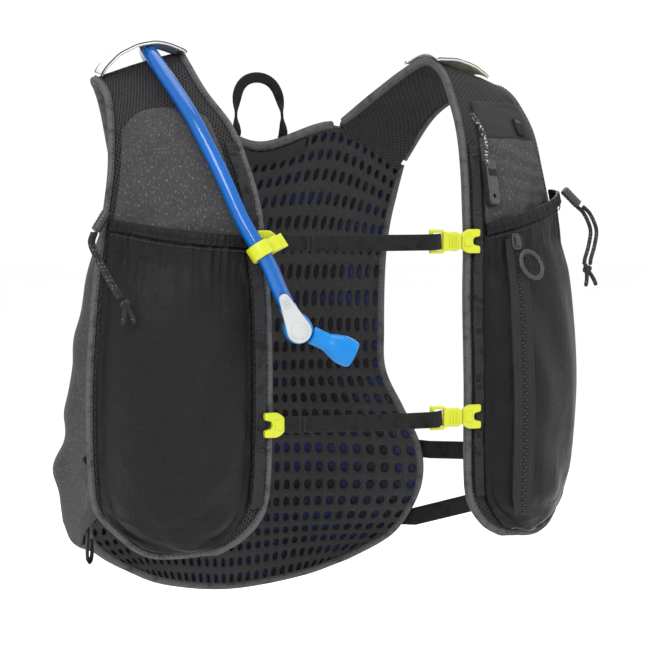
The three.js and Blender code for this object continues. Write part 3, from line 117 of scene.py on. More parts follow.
# Shoulder rungs from the front to the back seam: inner X, Y, Z and outer X, Y, Z as shares of
# SHOULDER_HALF_WIDTH, SHOULDER_DEPTH and SHOULDER_RISE, and bow of PANEL_BOW.
SHOULDER_RUNGS = (
    (0.583, -0.571, -0.35, 1.014, -0.317, -0.42, 0.2),
    (0.604, -0.27, -0.04, 1.007, -0.143, -0.28, 0.1),
    (0.583, -0.016, 0.09, 1.0, 0.048, -0.22, 0.1),
    (0.521, 0.206, -0.05, 0.972, 0.27, -0.22, 0.1),
    (0.458, 0.429, -0.24, 0.917, 0.492, -0.28, 0.1),
    (0.41, 0.635, -0.4, 0.84, 0.746, -0.5, 0.1),
)
# Back rows from the neck down: the middle's Y and drop, then X, Y and drop of a point between and
# of the edge, as shares of BACK_HALF_WIDTH, BACK_DEPTH and BACK_DROP.
BACK_ROWS = (
    (0.563, 0.134, 0.419, 0.464, 0.094, 0.871, 0.563, 0.171),
    (0.679, 0.194, 0.427, 0.58, 0.171, 0.831, 0.58, 0.229),
    (0.804, 0.277, 0.427, 0.732, 0.271, 0.806, 0.625, 0.294),
    (0.902, 0.377, 0.427, 0.848, 0.377, 0.794, 0.661, 0.377),
    (0.96, 0.491, 0.427, 0.902, 0.491, 0.79, 0.67, 0.491),
    (0.982, 0.577, 0.427, 0.924, 0.574, 0.798, 0.665, 0.571),
    (0.991, 0.646, 0.444, 0.929, 0.646, 0.887, 0.607, 0.649),
    (1.0, 0.72, 0.468, 0.938, 0.72, 0.976, 0.571, 0.726),
    (1.0, 0.8, 0.468, 0.938, 0.8, 0.992, 0.598, 0.8),
    (1.0, 0.871, 0.452, 0.933, 0.869, 0.952, 0.705, 0.866),
    (1.0, 0.931, 0.435, 0.929, 0.917, 0.839, 0.75, 0.909),
    (1.0, 1.0, 0.387, 0.92, 0.98, 0.645, 0.839, 0.949),
)
# Centre lines of the free cords, in millimetres.
HOSE_ROUTE = (
    (-50, 107, -98), (-52, 103, -86), (-54, 97, -72), (-57, 88, -59), (-62, 76, -46), (-69, 63.5, -31),
    (-78, 49, -15.5), (-88.6, 33.3, -3.6), (-100.3, 18, 5.6), (-108.6, 2.8, 10.6), (-113, -14.5, 5.4),
    (-112, -29.8, -5.6), (-109, -45, -19.2), (-105.7, -60.2, -34.2), (-100.9, -71.6, -51.5),
    (-95.5, -81.5, -70), (-88, -92, -95), (-80.5, -100.5, -113), (-76, -103, -121), (-70, -105, -136),
    (-65, -105.5, -146),
)
DRAWCORD_ROUTES = {
    "left": (
        (-167.5, -56, -103), (-170, -58, -109), (-168.5, -62.5, -117), (-164.8, -69, -128),
        (-160.8, -74.8, -138), (-159, -76.8, -141.5),
    ),
    "right": (
        (165, -66, -88), (170, -67, -93), (173.5, -69, -103), (169, -74, -113), (162.5, -80, -121),
        (160, -83, -124.5),
    ),
}
LANYARD_ROUTE = (
    (87, -61, -29), (88, -64.5, -33), (89.5, -70, -40), (89.5, -75, -48), (87.5, -79, -56),
    (86.5, -81.5, -61),
)


class Side(Enum):
    """The two hands of the vest, as seen from the front."""

    RIGHT = 1
    LEFT = -1

    @property
    def word(self) -> str:
        """Name of the side in piece names."""
        return self.name.lower()

    def turned(self, points: Array) -> Array:
        """Points of the right hand moved to this side."""
        return points * np.array([self.value, 1.0, 1.0])


def unit(vectors: Array) -> Array:
    """Vectors at length one."""
    length = np.linalg.norm(vectors, axis=-1, keepdims=True)
    return vectors / np.maximum(length, 1e-12)


def row_weights(place: Array, count: int) -> Array:
    """Smooth weights of equally spaced rows.

    Args:
        place: Where to read, from 0 to 1.
        count: How many rows there are.

    Returns:
        One line of weights for each place.
    """
    spot = np.clip(place, 0, 1) * (count - 1)
    index = np.minimum(spot.astype(int), count - 2)
    t = spot - index
    shares = (
        -0.5 * t**3 + t**2 - 0.5 * t,
        1.5 * t**3 - 2.5 * t**2 + 1,
        -1.5 * t**3 + 2 * t**2 + 0.5 * t,
        0.5 * t**3 - 0.5 * t**2,
    )
    weights = np.zeros((len(spot), count + 2))
    line = np.arange(len(spot))
    for step, share in enumerate(shares):
        weights[line, index + step] += share
    found = weights[:, 1:-1].copy()
    found[:, 0] += 2 * weights[:, 0]
    found[:, 1] -= weights[:, 0]
    found[:, -1] += 2 * weights[:, -1]
    found[:, -2] -= weights[:, -1]
    return found


def spline(points: Array, places: Array) -> Array:
    """Points on a smooth line at places from 0 to 1."""
    return row_weights(np.asarray(places, float), len(points)) @ np.asarray(points, float)


def even_line(points: Array, count: int) -> Array:
    """The same smooth line in equal steps."""
    fine = spline(points, np.linspace(0, 1, 40 * len(points)))
    length = walked(fine)
    goal = np.linspace(0, length[-1], count)
    return np.stack([np.interp(goal, length, fine[:, k]) for k in range(3)], axis=1)


def walked(points: Array) -> Array:
    """Distances along a line of points, from its first."""
    return np.concatenate([[0], np.cumsum(np.linalg.norm(np.diff(points, axis=0), axis=1))])


def line_length(points: Array) -> float:
    """Length of a line through points."""
    return float(np.linalg.norm(np.diff(points, axis=0), axis=1).sum())


def tangents(points: Array) -> Array:
    """Direction of a line at each of its points."""
    return unit(np.gradient(points, axis=0))


def ripple(place: Array, seed: int, pitch: float) -> Array:
    """Uneven waves between -1 and 1, the same on each run.

    Args:
        place: Distances along the waves.
        seed: Which set of waves.
        pitch: Their mean length.

    Returns:
        The height of the waves at each place.
    """
    rng = np.random.default_rng(seed)
    total = np.zeros_like(place, dtype=float)
    for _ in range(5):
        length = pitch * rng.uniform(0.6, 1.9)
        total += rng.uniform(0.5, 1.0) * np.sin(2 * math.pi * place / length + rng.uniform(0, 6.28))
    return total / 3.2


class Net:
    """A smooth sheet through rows of points: u runs across and v along."""

    def __init__(self, rows: Array) -> None:
        """Keeps the rows, an array of rows, columns and coordinates."""
        self.rows = np.asarray(rows, float)

    def at(self, u: Array, v: Array) -> Array:
        """Points of the sheet."""
        u, v = np.broadcast_arrays(np.asarray(u, float), np.asarray(v, float))
        across = row_weights(u.ravel(), self.rows.shape[1])
        along = row_weights(v.ravel(), self.rows.shape[0])
        found = np.einsum("nr,nc,rck->nk", along, across, self.rows, optimize=True)
        return found.reshape(*u.shape, 3)

    def across(self, u: Array, v: Array) -> Array:
        """How the point moves with u."""
        low, high = np.clip(np.asarray(u) - 0.004, 0, 1), np.clip(np.asarray(u) + 0.004, 0, 1)
        return (self.at(high, v) - self.at(low, v)) / (high - low)[..., None]

    def along(self, u: Array, v: Array) -> Array:
        """How the point moves with v."""
        low, high = np.clip(np.asarray(v) - 0.004, 0, 1), np.clip(np.asarray(v) + 0.004, 0, 1)
        return (self.at(u, high) - self.at(u, low)) / (high - low)[..., None]

    def normal(self, u: Array, v: Array) -> Array:
        """Directions off the sheet."""
        u, v = np.broadcast_arrays(np.asarray(u, float), np.asarray(v, float))
        return unit(np.cross(self.across(u, v), self.along(u, v)))

    def lifted(self, u: Array, v: Array, lift: Array | float) -> Array:
        """Points lifted off the sheet."""
        u, v = np.broadcast_arrays(np.asarray(u, float), np.asarray(v, float))
        return self.at(u, v) + self.normal(u, v) * np.broadcast_to(lift, u.shape)[..., None]

    def v_at_drop(self, u: Array, drop: Array, low: float, high: float) -> Array:
        """Places along the sheet where it reaches a drop.

        Args:
            u: Places across.
            drop: How far down to go.
            low: Where the search starts.
            high: Where it ends.

        Returns:
            The places along.
        """
        u, drop = np.broadcast_arrays(np.asarray(u, float), np.asarray(drop, float))
        start, end = np.full(u.shape, low), np.full(u.shape, high)
        first = self.at(u, start)[..., 2] < -drop
        for _ in range(24):
            middle = (start + end) / 2
            same = (self.at(u, middle)[..., 2] < -drop) == first
            start, end = np.where(same, middle, start), np.where(same, end, middle)
        return (start + end) / 2

    def width(self, v: Array) -> Array:
        """Straight width of the sheet at places along."""
        v = np.asarray(v, float)
        return np.linalg.norm(self.at(np.ones_like(v), v) - self.at(np.zeros_like(v), v), axis=-1)


def back_net() -> Net:
    """The back from the neck down, with its face to the rear."""
    rows = []
    for mid_y, mid_drop, tw_x, tw_y, tw_drop, ed_x, ed_y, ed_drop in BACK_ROWS:
        edge = np.array([ed_x * BACK_HALF_WIDTH, ed_y * BACK_DEPTH, -ed_drop * BACK_DROP])
        between = np.array([tw_x * BACK_HALF_WIDTH, tw_y * BACK_DEPTH, -tw_drop * BACK_DROP])
        middle = np.array([0, mid_y * BACK_DEPTH, -mid_drop * BACK_DROP])
        flip = np.array([-1, 1, 1])
        rows.append([edge * flip, between * flip, middle, between, edge])
    return Net(rows)


def front_net(back: Net) -> Net:
    """The right front panel and shoulder, from the bottom to the seam with the back."""
    rows = []
    for drop, in_x, in_y, out_x, out_y, bow in FRONT_RUNGS:
        inner = np.array([in_x * CHEST_HALF_WIDTH, -in_y * CHEST_DEPTH, -drop * FRONT_DROP])
        outer = np.array([out_x * CHEST_HALF_WIDTH, -out_y * CHEST_DEPTH, -drop * FRONT_DROP])
        outward = unit(np.cross(outer - inner, [0, 0, 1]))
        rows.append([inner, (inner + outer) / 2 + outward * bow * PANEL_BOW, outer])
    for in_x, in_y, in_z, out_x, out_y, out_z, bow in SHOULDER_RUNGS:
        size = np.array([SHOULDER_HALF_WIDTH, SHOULDER_DEPTH, SHOULDER_RISE])
        inner, outer = np.array([in_x, in_y, in_z]) * size, np.array([out_x, out_y, out_z]) * size
        rows.append([inner, (inner + outer) / 2 + np.array([0, 0, bow * PANEL_BOW]), outer])
    seam = np.array([NECK_SHARE, (NECK_SHARE + 1) / 2, 1.0])
    rows.append(list(back.at(seam, np.zeros(3))))
    return Net(rows)


BACK = back_net()
FRONT = front_net(BACK)
FRONT_TOP = (len(FRONT_RUNGS) - 1) / (len(FRONT_RUNGS) + len(SHOULDER_RUNGS))


def front_v(u: Array, drop: Array) -> Array:
    """Places along the front panel at a drop."""
    return FRONT.v_at_drop(u, drop, 0, FRONT_TOP + 0.1)


def grid_places(across: int, along: int) -> tuple[Array, Array]:
    """Shares across and along for a grid with that many cells, as two arrays of rows."""
    a, b = np.meshgrid(np.linspace(0, 1, across + 1), np.linspace(0, 1, along + 1))
    return a, b


@dataclass
class Form:
    """Points, faces and cloth places of one closed or open surface."""

    points: Array
    faces: list[tuple[int, ...]]
    places: Array | None = None

    def moved(self, along: float, up: float = 0.0) -> "Form":
        """The form moved along x and up z."""
        return Form(self.points + np.array([along, 0.0, up]), self.faces, self.places)

    def turned(self, side: Side) -> "Form":
        """The same form on the given side, with its faces out."""
        if side is Side.RIGHT:
            return self
        faces = [tuple(reversed(face)) for face in self.faces]
        return Form(side.turned(self.points), faces, self.places)

    def object(self, name: str, finish: bpy.types.Material, smooth: bool = True) -> bpy.types.Object:
        """Makes a Blender object of the form.

        Args:
            name: The piece's name.
            finish: Its material.
            smooth: Whether its faces are shaded smooth.

        Returns:
            The new object.
        """
        mesh = bpy.data.meshes.new(name)
        mesh.from_pydata(self.points.tolist(), [], self.faces)
        if self.places is not None:
            layer = mesh.uv_layers.new(name="cloth")
            corners = np.empty(len(mesh.loops), int)
            mesh.loops.foreach_get("vertex_index", corners)
            layer.data.foreach_set("uv", self.places[corners].astype(np.float32).ravel())
        mesh.materials.append(finish)
        mesh.polygons.foreach_set("use_smooth", [smooth] * len(mesh.polygons))
        mesh.update()
        piece = bpy.data.objects.new(name, mesh)
        bpy.context.scene.collection.objects.link(piece)
        return piece


def merged(forms: Sequence[Form]) -> Form:
    """Several forms as one."""
    points, faces, places, start = [], [], [], 0
    for form in forms:
        points.append(form.points)
        faces.extend(tuple(k + start for k in face) for face in form.faces)
        places.append(form.places if form.places is not None else np.zeros((len(form.points), 2)))
        start += len(form.points)
    return Form(np.concatenate(points), faces, np.concatenate(places))


def slab(lower: Array, upper: Array, places: Array) -> Form:
    """Closed sheet between two grids that share their rows and columns.

    Args:
        lower: Grid of points on the inner face, rows by columns by coordinates.
        upper: Grid of points on the outer face.
        places: Cloth places of the grid, in metres.

    Returns:
        The closed form.
    """
    rows, columns = lower.shape[:2]
    size = rows * columns
    spots = np.arange(size).reshape(rows, columns)
    quads = np.stack([spots[:-1, :-1], spots[:-1, 1:], spots[1:, 1:], spots[1:, :-1]], axis=-1)
    outer = (quads.reshape(-1, 4) + size).tolist()
    inner = quads.reshape(-1, 4)[:, ::-1].tolist()
    rim = np.concatenate([spots[0, :], spots[1:, -1], spots[-1, -2::-1], spots[-2:0:-1, 0]])
    after = np.roll(rim, -1)
    walls = np.stack([rim, after, after + size, rim + size], axis=1).tolist()
    faces = [tuple(face) for face in outer + inner + walls]
    points = np.concatenate([lower.reshape(-1, 3), upper.reshape(-1, 3)])
    return Form(points, faces, np.tile(places.reshape(-1, 2), (2, 1)))


def sweep(line: Array, sides: Array, faces_out: Array, section: Array, closed: bool = False) -> Form:
    """Closed body that a section makes along a line.

    Args:
        line: Points of the line.
        sides: Directions for the section's first number.
        faces_out: Directions for its second.
        section: Points of the section, one set for all or one set for each point.
        closed: Whether the line ends where it starts.

    Returns:
        The body.
    """
    count = len(line)
    section = np.broadcast_to(section, (count, *np.shape(section)[-2:]))
    ring = section.shape[1]
    rings = line[:, None] + sides[:, None] * section[..., :1] + faces_out[:, None] * section[..., 1:]
    length = walked(line)
    spread = np.linalg.norm(np.diff(section[0], axis=0), axis=1)
    round_way = np.concatenate([[0], np.cumsum(spread)])
    places = np.stack(np.broadcast_arrays(round_way[None, :], length[:, None]), axis=-1)
    spots = np.arange(count * ring).reshape(count, ring)
    spans = spots if closed else spots[:-1]
    ahead = np.roll(spots, -1, axis=0)[: len(spans)]
    around, around_ahead = np.roll(spans, -1, axis=1), np.roll(ahead, -1, axis=1)
    quads = np.stack([spans, around, around_ahead, ahead], axis=-1).reshape(-1, 4)
    found = [tuple(face) for face in quads.tolist()]
    if not closed:
        found.append(tuple(reversed(spots[0].tolist())))
        found.append(tuple(spots[-1].tolist()))
    form = Form(rings.reshape(-1, 3), found, places.reshape(-1, 2))
    return faced_out(form)


def faced_out(form: Form) -> Form:
    """The form with its faces turned out, by the sign of its volume."""
    total = 0.0
    for face in form.faces:
        corner = form.points[list(face)]
        for k in range(1, len(face) - 1):
            total += float(np.dot(corner[0], np.cross(corner[k], corner[k + 1])))
    if total >= 0:
        return form
    return Form(form.points, [tuple(reversed(face)) for face in form.faces], form.places)


def carried_frames(line: Array, first: Array) -> tuple[Array, Array]:
    """Side and face directions that turn as little as they can along a line.

    Args:
        line: Points of the line.
        first: A direction that the first side keeps to.

    Returns:
        The sides and the faces.
    """
    along = tangents(line)
    sides = np.empty_like(line)
    side = np.asarray(first, float)
    for k, tangent in enumerate(along):
        side = unit(side - tangent * np.dot(side, tangent))
        sides[k] = side
    return sides, np.cross(along, sides)


def ring_section(radius: float, count: int) -> Array:
    """A round section."""
    turn = np.linspace(0, 2 * math.pi, count, endpoint=False)
    return np.stack([radius * np.cos(turn), radius * np.sin(turn)], axis=1)


def tape_section(width: float, thickness: float, round_part: float = 0.45) -> Array:
    """A flat section with rounded edges."""
    half, deep = width / 2, thickness / 2
    cut = deep * 2 * round_part
    return np.array([
        (-half, -deep + cut), (-half + cut, -deep), (-half * 0.5, -deep), (0, -deep), (half * 0.5, -deep),
        (half - cut, -deep), (half, -deep + cut), (half, deep - cut), (half - cut, deep),
        (half * 0.5, deep), (0, deep), (-half * 0.5, deep), (-half + cut, deep), (-half, deep - cut),
    ])


def cord_form(line: Array, diameter: float | Array, sides: int = 12) -> Form:
    """A round cord along a line, with a diameter that may change."""
    first = np.array([0.3, -0.9, 0.2])
    side, face = carried_frames(line, first)
    radius = np.broadcast_to(np.asarray(diameter, float) / 2, (len(line),))
    return sweep(line, side, face, ring_section(1.0, sides)[None] * radius[:, None, None])


def ribbon_form(line: Array, wide: Array, width: float, thickness: float) -> Form:
    """A flat strap along a line; wide is the direction that its width keeps to."""
    along = tangents(line)
    wide = np.broadcast_to(wide, line.shape)
    side = unit(wide - along * np.sum(wide * along, axis=1, keepdims=True))
    return sweep(line, side, np.cross(along, side), tape_section(width, thickness))


def stitches(line: Array, off: Array, pitch: float = 0.0032, thick: float = 0.0006) -> Form:
    """A row of sewn stitches along a line.

    Args:
        line: Points of the line, on the cloth.
        off: Directions off the cloth.
        pitch: From one stitch to the next.
        thick: Thickness of the thread.

    Returns:
        The stitches as one form.
    """
    length = walked(line)
    count = max(int(length[-1] / pitch), 1)
    starts = (np.arange(count) + 0.14) * pitch
    turn = np.linspace(0, 2 * math.pi, 6, endpoint=False)
    steps = np.array([0.0, 0.12, 0.5, 0.88, 1.0])
    swell = np.array([0.25, 0.85, 1.0, 0.85, 0.25])
    lift = np.array([-0.5, 0.1, 0.35, 0.1, -0.5])
    points, faces, places = [], [], []
    for k, start in enumerate(starts):
        goal = start + steps * pitch * 0.72
        at = np.stack([np.interp(goal, length, line[:, c]) for c in range(3)], axis=1)
        out = unit(np.stack([np.interp(goal, length, off[:, c]) for c in range(3)], axis=1))
        along = unit(at[-1] - at[0])
        side = unit(np.cross(out, along))
        rim = side[:, None] * np.cos(turn)[None, :, None] + out[:, None] * np.sin(turn)[None, :, None]
        body = at[:, None] + out[:, None] * lift[:, None, None] * thick + rim * swell[:, None, None] * thick / 2
        base = k * 30
        points.append(body.reshape(-1, 3))
        places.append(np.stack([np.tile(turn, 5) * thick, np.repeat(goal, 6)], axis=1))
        for ring in range(4):
            for c in range(6):
                here, there = base + ring * 6 + c, base + ring * 6 + (c + 1) % 6
                faces.append((here, there, there + 6, here + 6))
        faces.append(tuple(base + c for c in reversed(range(6))))
        faces.append(tuple(base + 24 + c for c in range(6)))
    return Form(np.concatenate(points), faces, np.concatenate(places))


def plate_form(outline: Sequence[tuple[float, float]], holes: Sequence[Sequence[tuple[float, float]]],
               thickness: float, bevel: float, rounding: int = 3) -> Form:
    """A flat moulded plate with rounded edges, centred on its thickness.

    Args:
        outline: Its outer corners.
        holes: Corners of each hole.
        thickness: Its thickness.
        bevel: Radius of its edges.
        rounding: Steps in each rounded edge.

    Returns:
        The plate.
    """
    curve = bpy.data.curves.new("plate_outline", "CURVE")
    curve.dimensions = "2D"
    curve.fill_mode = "BOTH"
    curve.extrude = thickness / 2 - bevel
    curve.bevel_depth = bevel
    curve.bevel_resolution = rounding
    curve.offset = -bevel
    for ring in [outline, *holes]:
        line = curve.splines.new("POLY")
        line.points.add(len(ring) - 1)
        for point, (x, y) in zip(line.points, ring):
            point.co = (x, y, 0, 1)
        line.use_cyclic_u = True
    holder = bpy.data.objects.new("plate_outline", curve)
    bpy.context.scene.collection.objects.link(holder)
    bpy.context.view_layer.update()
    mesh = bpy.data.meshes.new_from_object(holder.evaluated_get(bpy.context.evaluated_depsgraph_get()))
    bpy.data.objects.remove(holder)
    bpy.data.curves.remove(curve)
    build = bmesh.new()
    build.from_mesh(mesh)
    bmesh.ops.remove_doubles(build, verts=build.verts, dist=1e-6)
    bmesh.ops.recalc_face_normals(build, faces=build.faces)
    points = np.array([vert.co[:] for vert in build.verts])
    build.verts.index_update()
    faces = [tuple(vert.index for vert in face.verts) for face in build.faces]
    build.free()
    bpy.data.meshes.remove(mesh)
    return Form(points, faces, points[:, :2].copy())


def rounded(corners: Sequence[tuple[float, float]], radius: float, steps: int = 4) -> list[tuple[float, float]]:
    """An outline with its corners rounded.

    Args:
        corners: The sharp corners, in order.
        radius: How far the rounding starts from a corner.
        steps: Points in each rounded corner.

    Returns:
        The rounded outline.
    """
    found = []
    corners_at = np.asarray(corners, float)
    for k, corner in enumerate(corners_at):
        before, after = corners_at[k - 1] - corner, corners_at[(k + 1) % len(corners_at)] - corner
        near = min(radius, np.linalg.norm(before) * 0.45, np.linalg.norm(after) * 0.45)
        start, end = corner + unit(before) * near, corner + unit(after) * near
        for t in np.linspace(0, 1, steps):
            point = start * (1 - t) ** 2 + corner * 2 * t * (1 - t) + end * t**2
            found.append((float(point[0]), float(point[1])))
    return found


def lathe_form(profile: Sequence[tuple[float, float]], count: int = 40) -> Form:
    """A round body: the profile's radius and height turned about Z."""
    profile_at = np.asarray(profile, float)
    turn = np.linspace(0, 2 * math.pi, count, endpoint=False)
    rings = np.stack([
        profile_at[:, :1] * np.cos(turn), profile_at[:, :1] * np.sin(turn),
        np.broadcast_to(profile_at[:, 1:], (len(profile_at), count)),
    ], axis=-1)
    spots = np.arange(len(profile_at) * count).reshape(-1, count)
    quads = np.stack([spots[:-1], np.roll(spots[:-1], -1, 1), np.roll(spots[1:], -1, 1), spots[1:]], axis=-1)
    faces = [tuple(face) for face in quads.reshape(-1, 4).tolist()]
    faces += [tuple(reversed(spots[0].tolist())), tuple(spots[-1].tolist())]
    reach = walked(profile_at)
    places = np.stack(np.broadcast_arrays(turn[None] * profile_at[:, :1].max(), reach[:, None]), axis=-1)
    return faced_out(Form(rings.reshape(-1, 3), faces, places.reshape(-1, 2)))


def placed(form: Form, at: Array, x_way: Array, z_way: Array) -> Form:
    """The form with its own X along one direction and its Z along another."""
    x = unit(np.asarray(x_way, float))
    z = unit(np.asarray(z_way, float) - x * np.dot(z_way, x))
    basis = np.stack([x, np.cross(z, x), z])
    return Form(form.points @ basis + np.asarray(at, float), form.faces, form.places)


def settle(piece: bpy.types.Object, pinned: Array, pressure: float, frames: int, growth: float,
           gravity: float, cap: float, stiffness: float = 12.0) -> None:
    """Lets cloth settle and keeps the shape that it takes.

    Args:
        piece: The cloth.
        pinned: Vertex numbers that stay.
        pressure: Push from inside.
        frames: Steps to run.
        growth: How much longer the cloth is than its start, as a share.
        gravity: Share of the world's gravity.
        cap: The furthest that a point may move.
        stiffness: How little the cloth stretches.
    """
    start = vertex_places(piece.data)
    group = piece.vertex_groups.new(name="sewn")
    group.add([int(k) for k in pinned], 1.0, "REPLACE")
    cloth = piece.modifiers.new("settling", "CLOTH")
    cloth.settings.quality = 7
    cloth.settings.mass = 0.12
    cloth.settings.tension_stiffness = stiffness
    cloth.settings.compression_stiffness = stiffness
    cloth.settings.shear_stiffness = stiffness / 2
    cloth.settings.bending_stiffness = 0.05
    cloth.settings.air_damping = 4
    cloth.settings.vertex_group_mass = "sewn"
    cloth.settings.shrink_min = -growth
    cloth.settings.use_pressure = pressure != 0
    cloth.settings.uniform_pressure_force = pressure
    cloth.settings.effector_weights.gravity = gravity
    cloth.collision_settings.use_collision = False
    cloth.point_cache.frame_start = 1
    cloth.point_cache.frame_end = frames
    scene = bpy.context.scene
    for step in range(1, frames + 1):
        scene.frame_set(step)
    seen = piece.evaluated_get(bpy.context.evaluated_depsgraph_get())
    settled = vertex_places(seen.data)
    move = settled - start
    far = np.linalg.norm(move, axis=1, keepdims=True)
    move *= np.minimum(1.0, cap / np.maximum(far, 1e-9))
    piece.modifiers.remove(cloth)
    piece.vertex_groups.clear()
    piece.data.vertices.foreach_set("co", (start + move).astype(np.float32).ravel())
    piece.data.update()
    scene.frame_set(1)


def vertex_places(mesh: bpy.types.Mesh) -> Array:
    """Coordinates of a mesh's vertices."""
    found = np.empty(len(mesh.vertices) * 3, np.float32)
    mesh.vertices.foreach_get("co", found)
    return found.reshape(-1, 3).astype(float)


def modified(piece: bpy.types.Object, kind: str, **settings: object) -> bpy.types.Object:
    """Adds a modifier to a piece and sets it."""
    modifier = piece.modifiers.new(kind.lower(), kind)
    for name, value in settings.items():
        setattr(modifier, name, value)
    return piece


def fixed(piece: bpy.types.Object, slot: str, *nodes: str, body: str = "vest") -> bpy.types.Object:
    """Seats a finished piece: it rides on its body and stands for its nodes."""
    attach(piece, body)
    if nodes:
        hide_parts(*nodes)
    log.info("%s: %d faces%s", piece.name, len(piece.data.polygons) if piece.type == "MESH" else 0,
             f", for {', '.join(nodes)}" if nodes else "")
    return piece


Socket = bpy.types.NodeSocket
Colour = tuple[float, float, float]


class Mixture:
    """Node tree of one finish, with short calls for the nodes that it uses."""

    def __init__(self, name: str) -> None:
        """Starts the finish with a bare principled shader."""
        self.material = bpy.data.materials.new(name)
        self.material.use_nodes = True
        self.tree = self.material.node_tree
        self.tree.nodes.clear()
        self.shader = self.node("ShaderNodeBsdfPrincipled")
        output = self.node("ShaderNodeOutputMaterial")
        self.tree.links.new(self.shader.outputs[0], output.inputs[0])

    def node(self, kind: str, **settings: object) -> bpy.types.Node:
        """Adds a node and sets it."""
        node = self.tree.nodes.new(kind)
        for name, value in settings.items():
            setattr(node, name, value)
        return node

    def feed(self, socket: Socket, value: Socket | float | Sequence[float]) -> None:
        """Links a socket to another, or sets its value."""
        if isinstance(value, bpy.types.NodeSocket):
            self.tree.links.new(value, socket)
        else:
            socket.default_value = value

    def maths(self, operation: str, first: Socket | float, second: Socket | float = 0.0,
              clamp: bool = False) -> Socket:
        """Result of one sum."""
        node = self.node("ShaderNodeMath", operation=operation, use_clamp=clamp)
        self.feed(node.inputs[0], first)
        self.feed(node.inputs[1], second)
        return node.outputs[0]

    def cloth(self) -> tuple[Socket, Socket]:
        """Places across and along the cloth, in metres."""
        parts = self.node("ShaderNodeSeparateXYZ")
        self.feed(parts.inputs[0], self.node("ShaderNodeUVMap", uv_map="cloth").outputs[0])
        return parts.outputs[0], parts.outputs[1]

    def place(self) -> Socket:
        """Places in the vest's own frame, in metres."""
        return self.node("ShaderNodeTexCoord").outputs["Object"]

    def cloth_vector(self, across: float = 1.0, along: float = 1.0) -> Socket:
        """Cloth places stretched each way."""
        node = self.node("ShaderNodeVectorMath", operation="MULTIPLY")
        self.feed(node.inputs[0], self.node("ShaderNodeUVMap", uv_map="cloth").outputs[0])
        node.inputs[1].default_value = (across, along, 1.0)
        return node.outputs[0]

    def noise(self, scale: float, vector: Socket | None = None, detail: float = 2.0) -> Socket:
        """Soft noise between 0 and 1."""
        node = self.node("ShaderNodeTexNoise")
        self.feed(node.inputs["Vector"], vector if vector is not None else self.place())
        node.inputs["Scale"].default_value = scale
        node.inputs["Detail"].default_value = detail
        return node.outputs[0]

    def wave(self, place: Socket, pitch: float) -> Socket:
        """A wave between 0 and 1 along a place."""
        turned = self.maths("SINE", self.maths("MULTIPLY", place, 2 * math.pi / pitch))
        return self.maths("ADD", self.maths("MULTIPLY", turned, 0.5), 0.5)

    def ramp(self, value: Socket, low: float, high: float) -> Socket:
        """0 below one value, 1 above another and smooth between."""
        node = self.node("ShaderNodeMapRange", interpolation_type="SMOOTHSTEP")
        self.feed(node.inputs["Value"], value)
        node.inputs["From Min"].default_value = low
        node.inputs["From Max"].default_value = high
        return node.outputs[0]

    def blend(self, share: Socket | float, first: Colour | Socket, second: Colour | Socket) -> Socket:
        """Colour between two colours."""
        node = self.node("ShaderNodeMix", data_type="RGBA")
        self.feed(node.inputs[0], share)
        for socket, colour in ((node.inputs[6], first), (node.inputs[7], second)):
            self.feed(socket, colour if isinstance(colour, bpy.types.NodeSocket) else (*colour, 1.0))
        return node.outputs[2]

    def raise_by(self, height: Socket, distance: float, strength: float = 1.0) -> None:
        """Bumps the surface by a height between 0 and 1 times a distance in metres."""
        node = self.node("ShaderNodeBump")
        node.inputs["Strength"].default_value = strength
        node.inputs["Distance"].default_value = distance
        self.feed(node.inputs["Height"], height)
        self.feed(self.shader.inputs["Normal"], node.outputs[0])

    def set(self, **values: object) -> None:
        """Sets sockets of the shader; an underscore stands for a space in a socket's name."""
        for name, value in values.items():
            socket = self.shader.inputs[name.replace("_", " ")]
            if isinstance(value, tuple) and len(value) == 3 and len(socket.default_value) == 4:
                value = (*value, 1.0)
            self.feed(socket, value)


@dataclass(frozen=True)
class KnitMesh:
    """Fine knitted mesh with small slanted eyelets, with painted reflections in them where a tint is given."""

    name: str = "knit_mesh"
    thread: Colour = (0.017, 0.017, 0.018)
    shade: Colour = (0.0035, 0.0035, 0.004)
    across: float = 0.0019
    along: float = 0.0026
    slant: float = 0.35
    # Colour of the painted reflections of the bladder film in the eyelets; None for none.
    tint: Colour | None = None

    def material(self) -> bpy.types.Material:
        """Builds the finish."""
        mix = Mixture(self.name)
        x, y = mix.cloth()
        slanted = mix.maths("ADD", x, mix.maths("MULTIPLY", y, self.slant))
        column = mix.maths("DIVIDE", slanted, self.across)
        odd = mix.maths("MULTIPLY", mix.maths("MODULO", mix.maths("FLOOR", column), 2.0), 0.5)
        row = mix.maths("ADD", mix.maths("DIVIDE", y, self.along), odd)
        from_x = mix.maths("SUBTRACT", mix.maths("FRACT", column), 0.5)
        from_y = mix.maths("SUBTRACT", mix.maths("FRACT", row), 0.5)
        far_x = mix.maths("POWER", mix.maths("MULTIPLY", mix.maths("ABSOLUTE", from_x), 3.3), 2.0)
        far_y = mix.maths("POWER", mix.maths("MULTIPLY", mix.maths("ABSOLUTE", from_y), 2.6), 2.0)
        solid = mix.ramp(mix.maths("ADD", far_x, far_y), 0.35, 1.3)
        worn = mix.noise(240.0)
        thread = mix.blend(worn, self.thread, tuple(1.9 * part for part in self.thread))
        shade = self.shade
        # Blotches of the tint are painted into the eyelets: painted reflections of the bladder film behind the mesh.
        if self.tint is not None:
            painted_glint = mix.ramp(mix.noise(34.0, detail=3.0), 0.47, 0.62)
            shade = mix.blend(painted_glint, self.shade, self.tint)
        mix.feed(mix.shader.inputs["Base Color"], mix.blend(solid, shade, thread))
        mix.raise_by(mix.maths("ADD", solid, mix.maths("MULTIPLY", mix.noise(1500.0), 0.25)), 0.0006)
        mix.set(Roughness=0.82, Sheen_Weight=0.03, Sheen_Roughness=0.5, Specular_IOR_Level=0.12)
        return mix.material


